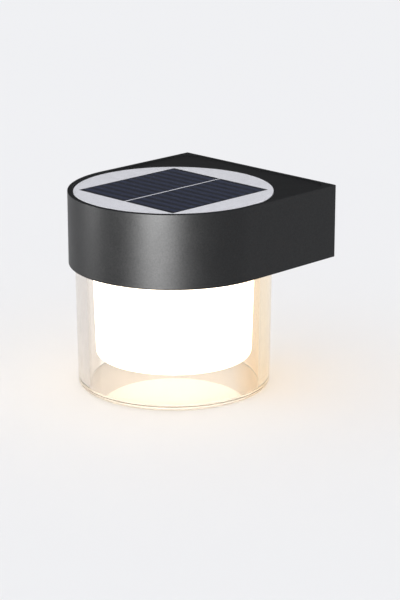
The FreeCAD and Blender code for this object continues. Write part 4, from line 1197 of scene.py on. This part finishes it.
class FENCELIGHT_OT_diffuser(bpy.types.Operator):
    """Build the lit opal cup"""
    bl_idname = "fence_light.diffuser"
    bl_label = "Diffuser"

    def execute(self, context):
        build_diffuser(settings("diffuser"))
        return {"FINISHED"}


class FENCELIGHT_OT_leds(bpy.types.Operator):
    """Build the ring of LEDs and finish their board"""
    bl_idname = "fence_light.leds"
    bl_label = "LEDs"

    def execute(self, context):
        white = circuit_board("board_white", (0.82, 0.82, 0.81), (0.75, 0.72, 0.62))
        paint_nodes(white, "led_board")
        build_leds(settings("leds"), white)
        return {"FINISHED"}


class FENCELIGHT_OT_screws(bpy.types.Operator):
    """Build every set of pan-head screws"""
    bl_idname = "fence_light.screws"
    bl_label = "Screws"

    def execute(self, context):
        build_screws(settings("screws"))
        return {"FINISHED"}


class FENCELIGHT_OT_fittings(bpy.types.Operator):
    """Build the button, and finish the chassis, seals, bracket, battery, boards and leads"""
    bl_idname = "fence_light.fittings"
    bl_label = "Fittings"

    def execute(self, context):
        hardware = settings("hardware")
        rubber = mottled("silicone_rubber", tuple(hardware.rubber), 0.6, 0.3 * MM, 0.01 * MM)
        build_button(hardware, rubber)
        paint_nodes(moulded_black(tuple(hardware.plastic)), "chassis", "battery_holder")
        paint_nodes(rubber, "glass_seal")
        paint_nodes(foam(), "panel_gasket")
        paint_nodes(mottled("powder_coat", tuple(hardware.powder), 0.5, 0.5 * MM, 0.03 * MM),
                    "wall_bracket")
        paint_nodes(circuit_board("solder_mask", tuple(hardware.mask), (0.7, 0.68, 0.6)),
                    "control_board", "switch_board")
        paint_nodes(black_epoxy(), "board_components", "switch_body")
        paint_nodes(lead_sleeve(tuple(hardware.sleeve)),
                    "panel_leads", "led_leads", "battery_leads", "switch_leads")
        paint_nodes(battery_film(tuple(hardware.film)), "battery_cell")
        paint_nodes(plated_steel("nickel_strip", tuple(hardware.nickel), 0.3, (0.70, 0.68, 0.60)),
                    "battery_contacts")
        return {"FINISHED"}


# ---- Stage ---------------------------------------------------------------------------------

def build_floor(stage):
    """Wide pale floor just under the glass, open from below so that the underside can be seen."""
    mesh = bpy.data.meshes.new("floor")
    reach = 8.0
    drop = -0.15 * MM
    mesh.from_pydata([(-reach, -reach, drop), (reach, -reach, drop), (reach, reach, drop),
                      (-reach, reach, drop)], [], [(0, 1, 2, 3)])
    floor = new_piece("floor", mesh)
    finish = Finish("pale_floor")
    clouds = finish.noise(0.25)
    tone = finish.mix(clouds, shade_of(stage.floor, 0.993), shade_of(stage.floor, 1.0))
    paper = finish.principled({"Base Color": tone, "Roughness": 0.85, "Specular IOR Level": 0.0})
    under = finish.add("ShaderNodeNewGeometry")["Backfacing"]
    clear = finish.add("ShaderNodeBsdfTransparent")[0]
    mesh.materials.append(finish.end(finish.add("ShaderNodeMixShader", {0: under, 1: paper, 2: clear})[0]))


def way(azimuth, elevation):
    """Unit direction towards a compass angle, where 0 is the front, and a height above level."""
    return Vector((sin(azimuth) * cos(elevation), -cos(azimuth) * cos(elevation), sin(elevation)))


def soft_panel(name, azimuth, width, brightness, receivers):
    """Upright soft panel that only the gloss of the receivers sees, so that the floor stays even."""
    height = SOFT_PANEL_HEIGHT
    lamp = bpy.data.lights.new(name, "AREA")
    lamp.shape = "RECTANGLE"
    lamp.size = width
    lamp.size_y = height
    lamp.energy = brightness * pi * width * height
    lamp.cycles.max_bounces = 0
    away = way(azimuth, 0.0)
    holder = bpy.data.objects.new(name, lamp)
    holder.location = away * SOFT_PANEL_DISTANCE + Vector((0, 0, height / 2))
    holder.rotation_mode = "QUATERNION"
    holder.rotation_quaternion = away.to_track_quat("Z", "Y")
    holder.visible_diffuse = False
    holder.visible_transmission = False
    holder.visible_camera = False
    holder.light_linking.receiver_collection = receivers
    bpy.context.scene.collection.objects.link(holder)


def painted_pieces():
    """Collection of the pieces that wear the anthracite paint."""
    painted = bpy.data.collections.new("painted")
    for item in bpy.context.scene.objects:
        if item.type == "MESH" and "anthracite_paint" in item.data.materials:
            painted.objects.link(item)
    return painted


def build_world(stage):
    """Even light. Camera and glass see it pale, and gloss sees it dim behind the light."""
    dim_from, dim_full = radians(75), radians(32)
    dim_share = 0.92
    sky_tone = (0.992, 0.998, 1.012)
    world = bpy.data.worlds.new("studio")
    world.use_nodes = True
    world.cycles.sampling_method = "NONE"
    nodes = Nodes(world.node_tree)
    nodes.tree.nodes.clear()
    path = nodes.add("ShaderNodeLightPath")
    direction = nodes.add("ShaderNodeTexCoord")["Generated"]
    dim_way = way(stage.camera_azimuth + pi, stage.camera_elevation)
    toward = nodes.add("ShaderNodeVectorMath", {0: direction, 1: dim_way}, operation="DOT_PRODUCT")["Value"]
    behind = nodes.ramp(toward, cos(dim_from), cos(dim_full), smooth=True)
    dimming = nodes.math("MULTIPLY", behind, nodes.math("MULTIPLY", path["Is Glossy Ray"], dim_share))
    level = nodes.math("MULTIPLY", nodes.math("SUBTRACT", 1.0, dimming), stage.even)
    lit = nodes.add("ShaderNodeVectorMath", {0: sky_tone, 3: level}, operation="SCALE")[0]
    shown = nodes.math("MAXIMUM", path["Is Camera Ray"], path["Is Transmission Ray"])
    sky = nodes.mix(shown, lit, shade_of(stage.floor, 1.0))
    nodes.add("ShaderNodeOutputWorld", {"Surface": nodes.add("ShaderNodeBackground", {"Color": sky})[0]})
    bpy.context.scene.world = world


def build_camera(stage):
    lens = bpy.data.cameras.new("camera")
    lens.lens = stage.lens
    lens.sensor_width = 36.0
    camera = bpy.data.objects.new("camera", lens)
    camera.location = stage.camera_place
    camera.rotation_mode = "QUATERNION"
    camera.rotation_quaternion = way(stage.camera_azimuth, stage.camera_elevation).to_track_quat("Z", "Y")
    bpy.context.scene.collection.objects.link(camera)
    bpy.context.scene.camera = camera


class FENCELIGHT_OT_stage(bpy.types.Operator):
    """Lay the floor and set the lamps, the world and the camera"""
    bl_idname = "fence_light.stage"
    bl_label = "Stage"

    def execute(self, context):
        stage = settings("stage")
        build_floor(stage)
        painted = painted_pieces()
        soft_panel("key_light", stage.key_azimuth, stage.key_width, stage.key, painted)
        soft_panel("side_light", stage.side_azimuth, stage.side_width, stage.side, painted)
        build_world(stage)
        build_camera(stage)
        context.scene.view_settings.view_transform = "Standard"
        return {"FINISHED"}


class FENCELIGHT_PT_sidebar(bpy.types.Panel):
    """Sizes, colours and steps of the fence light"""
    bl_label = "Fence Light"
    bl_idname = "FENCELIGHT_PT_sidebar"
    bl_space_type = "VIEW_3D"
    bl_region_type = "UI"
    bl_category = "Fence Light"

    def draw(self, context):
        for step in STEPS:
            self.layout.operator(step.bl_idname)
        for name, group in SETTINGS.items():
            box = self.layout.box()
            box.label(text=name.title())
            for prop in group.__annotations__:
                box.prop(settings(name), prop)


SETTINGS = {
    "head": HeadSettings, "panel": PanelSettings, "glass": GlassSettings, "diffuser": DiffuserSettings,
    "leds": LedSettings, "screws": ScrewSettings, "hardware": HardwareSettings, "stage": StageSettings,
}
STEPS = (FENCELIGHT_OT_head, FENCELIGHT_OT_panel, FENCELIGHT_OT_glass, FENCELIGHT_OT_diffuser,
         FENCELIGHT_OT_leds, FENCELIGHT_OT_screws, FENCELIGHT_OT_fittings, FENCELIGHT_OT_stage)


def register():
    for group in SETTINGS.values():
        bpy.utils.register_class(group)
    for name, group in SETTINGS.items():
        setattr(bpy.types.Scene, "fence_light_" + name, bpy.props.PointerProperty(type=group))
    for step in STEPS + (FENCELIGHT_PT_sidebar,):
        bpy.utils.register_class(step)


def unregister():
    for step in reversed(STEPS + (FENCELIGHT_PT_sidebar,)):
        bpy.utils.unregister_class(step)
    for name, group in SETTINGS.items():
        delattr(bpy.types.Scene, "fence_light_" + name)
        bpy.utils.unregister_class(group)


def main():
    register()
    for step in STEPS:
        getattr(bpy.ops.fence_light, step.bl_idname.split(".")[1])()


if __name__ == "__main__":
    main()
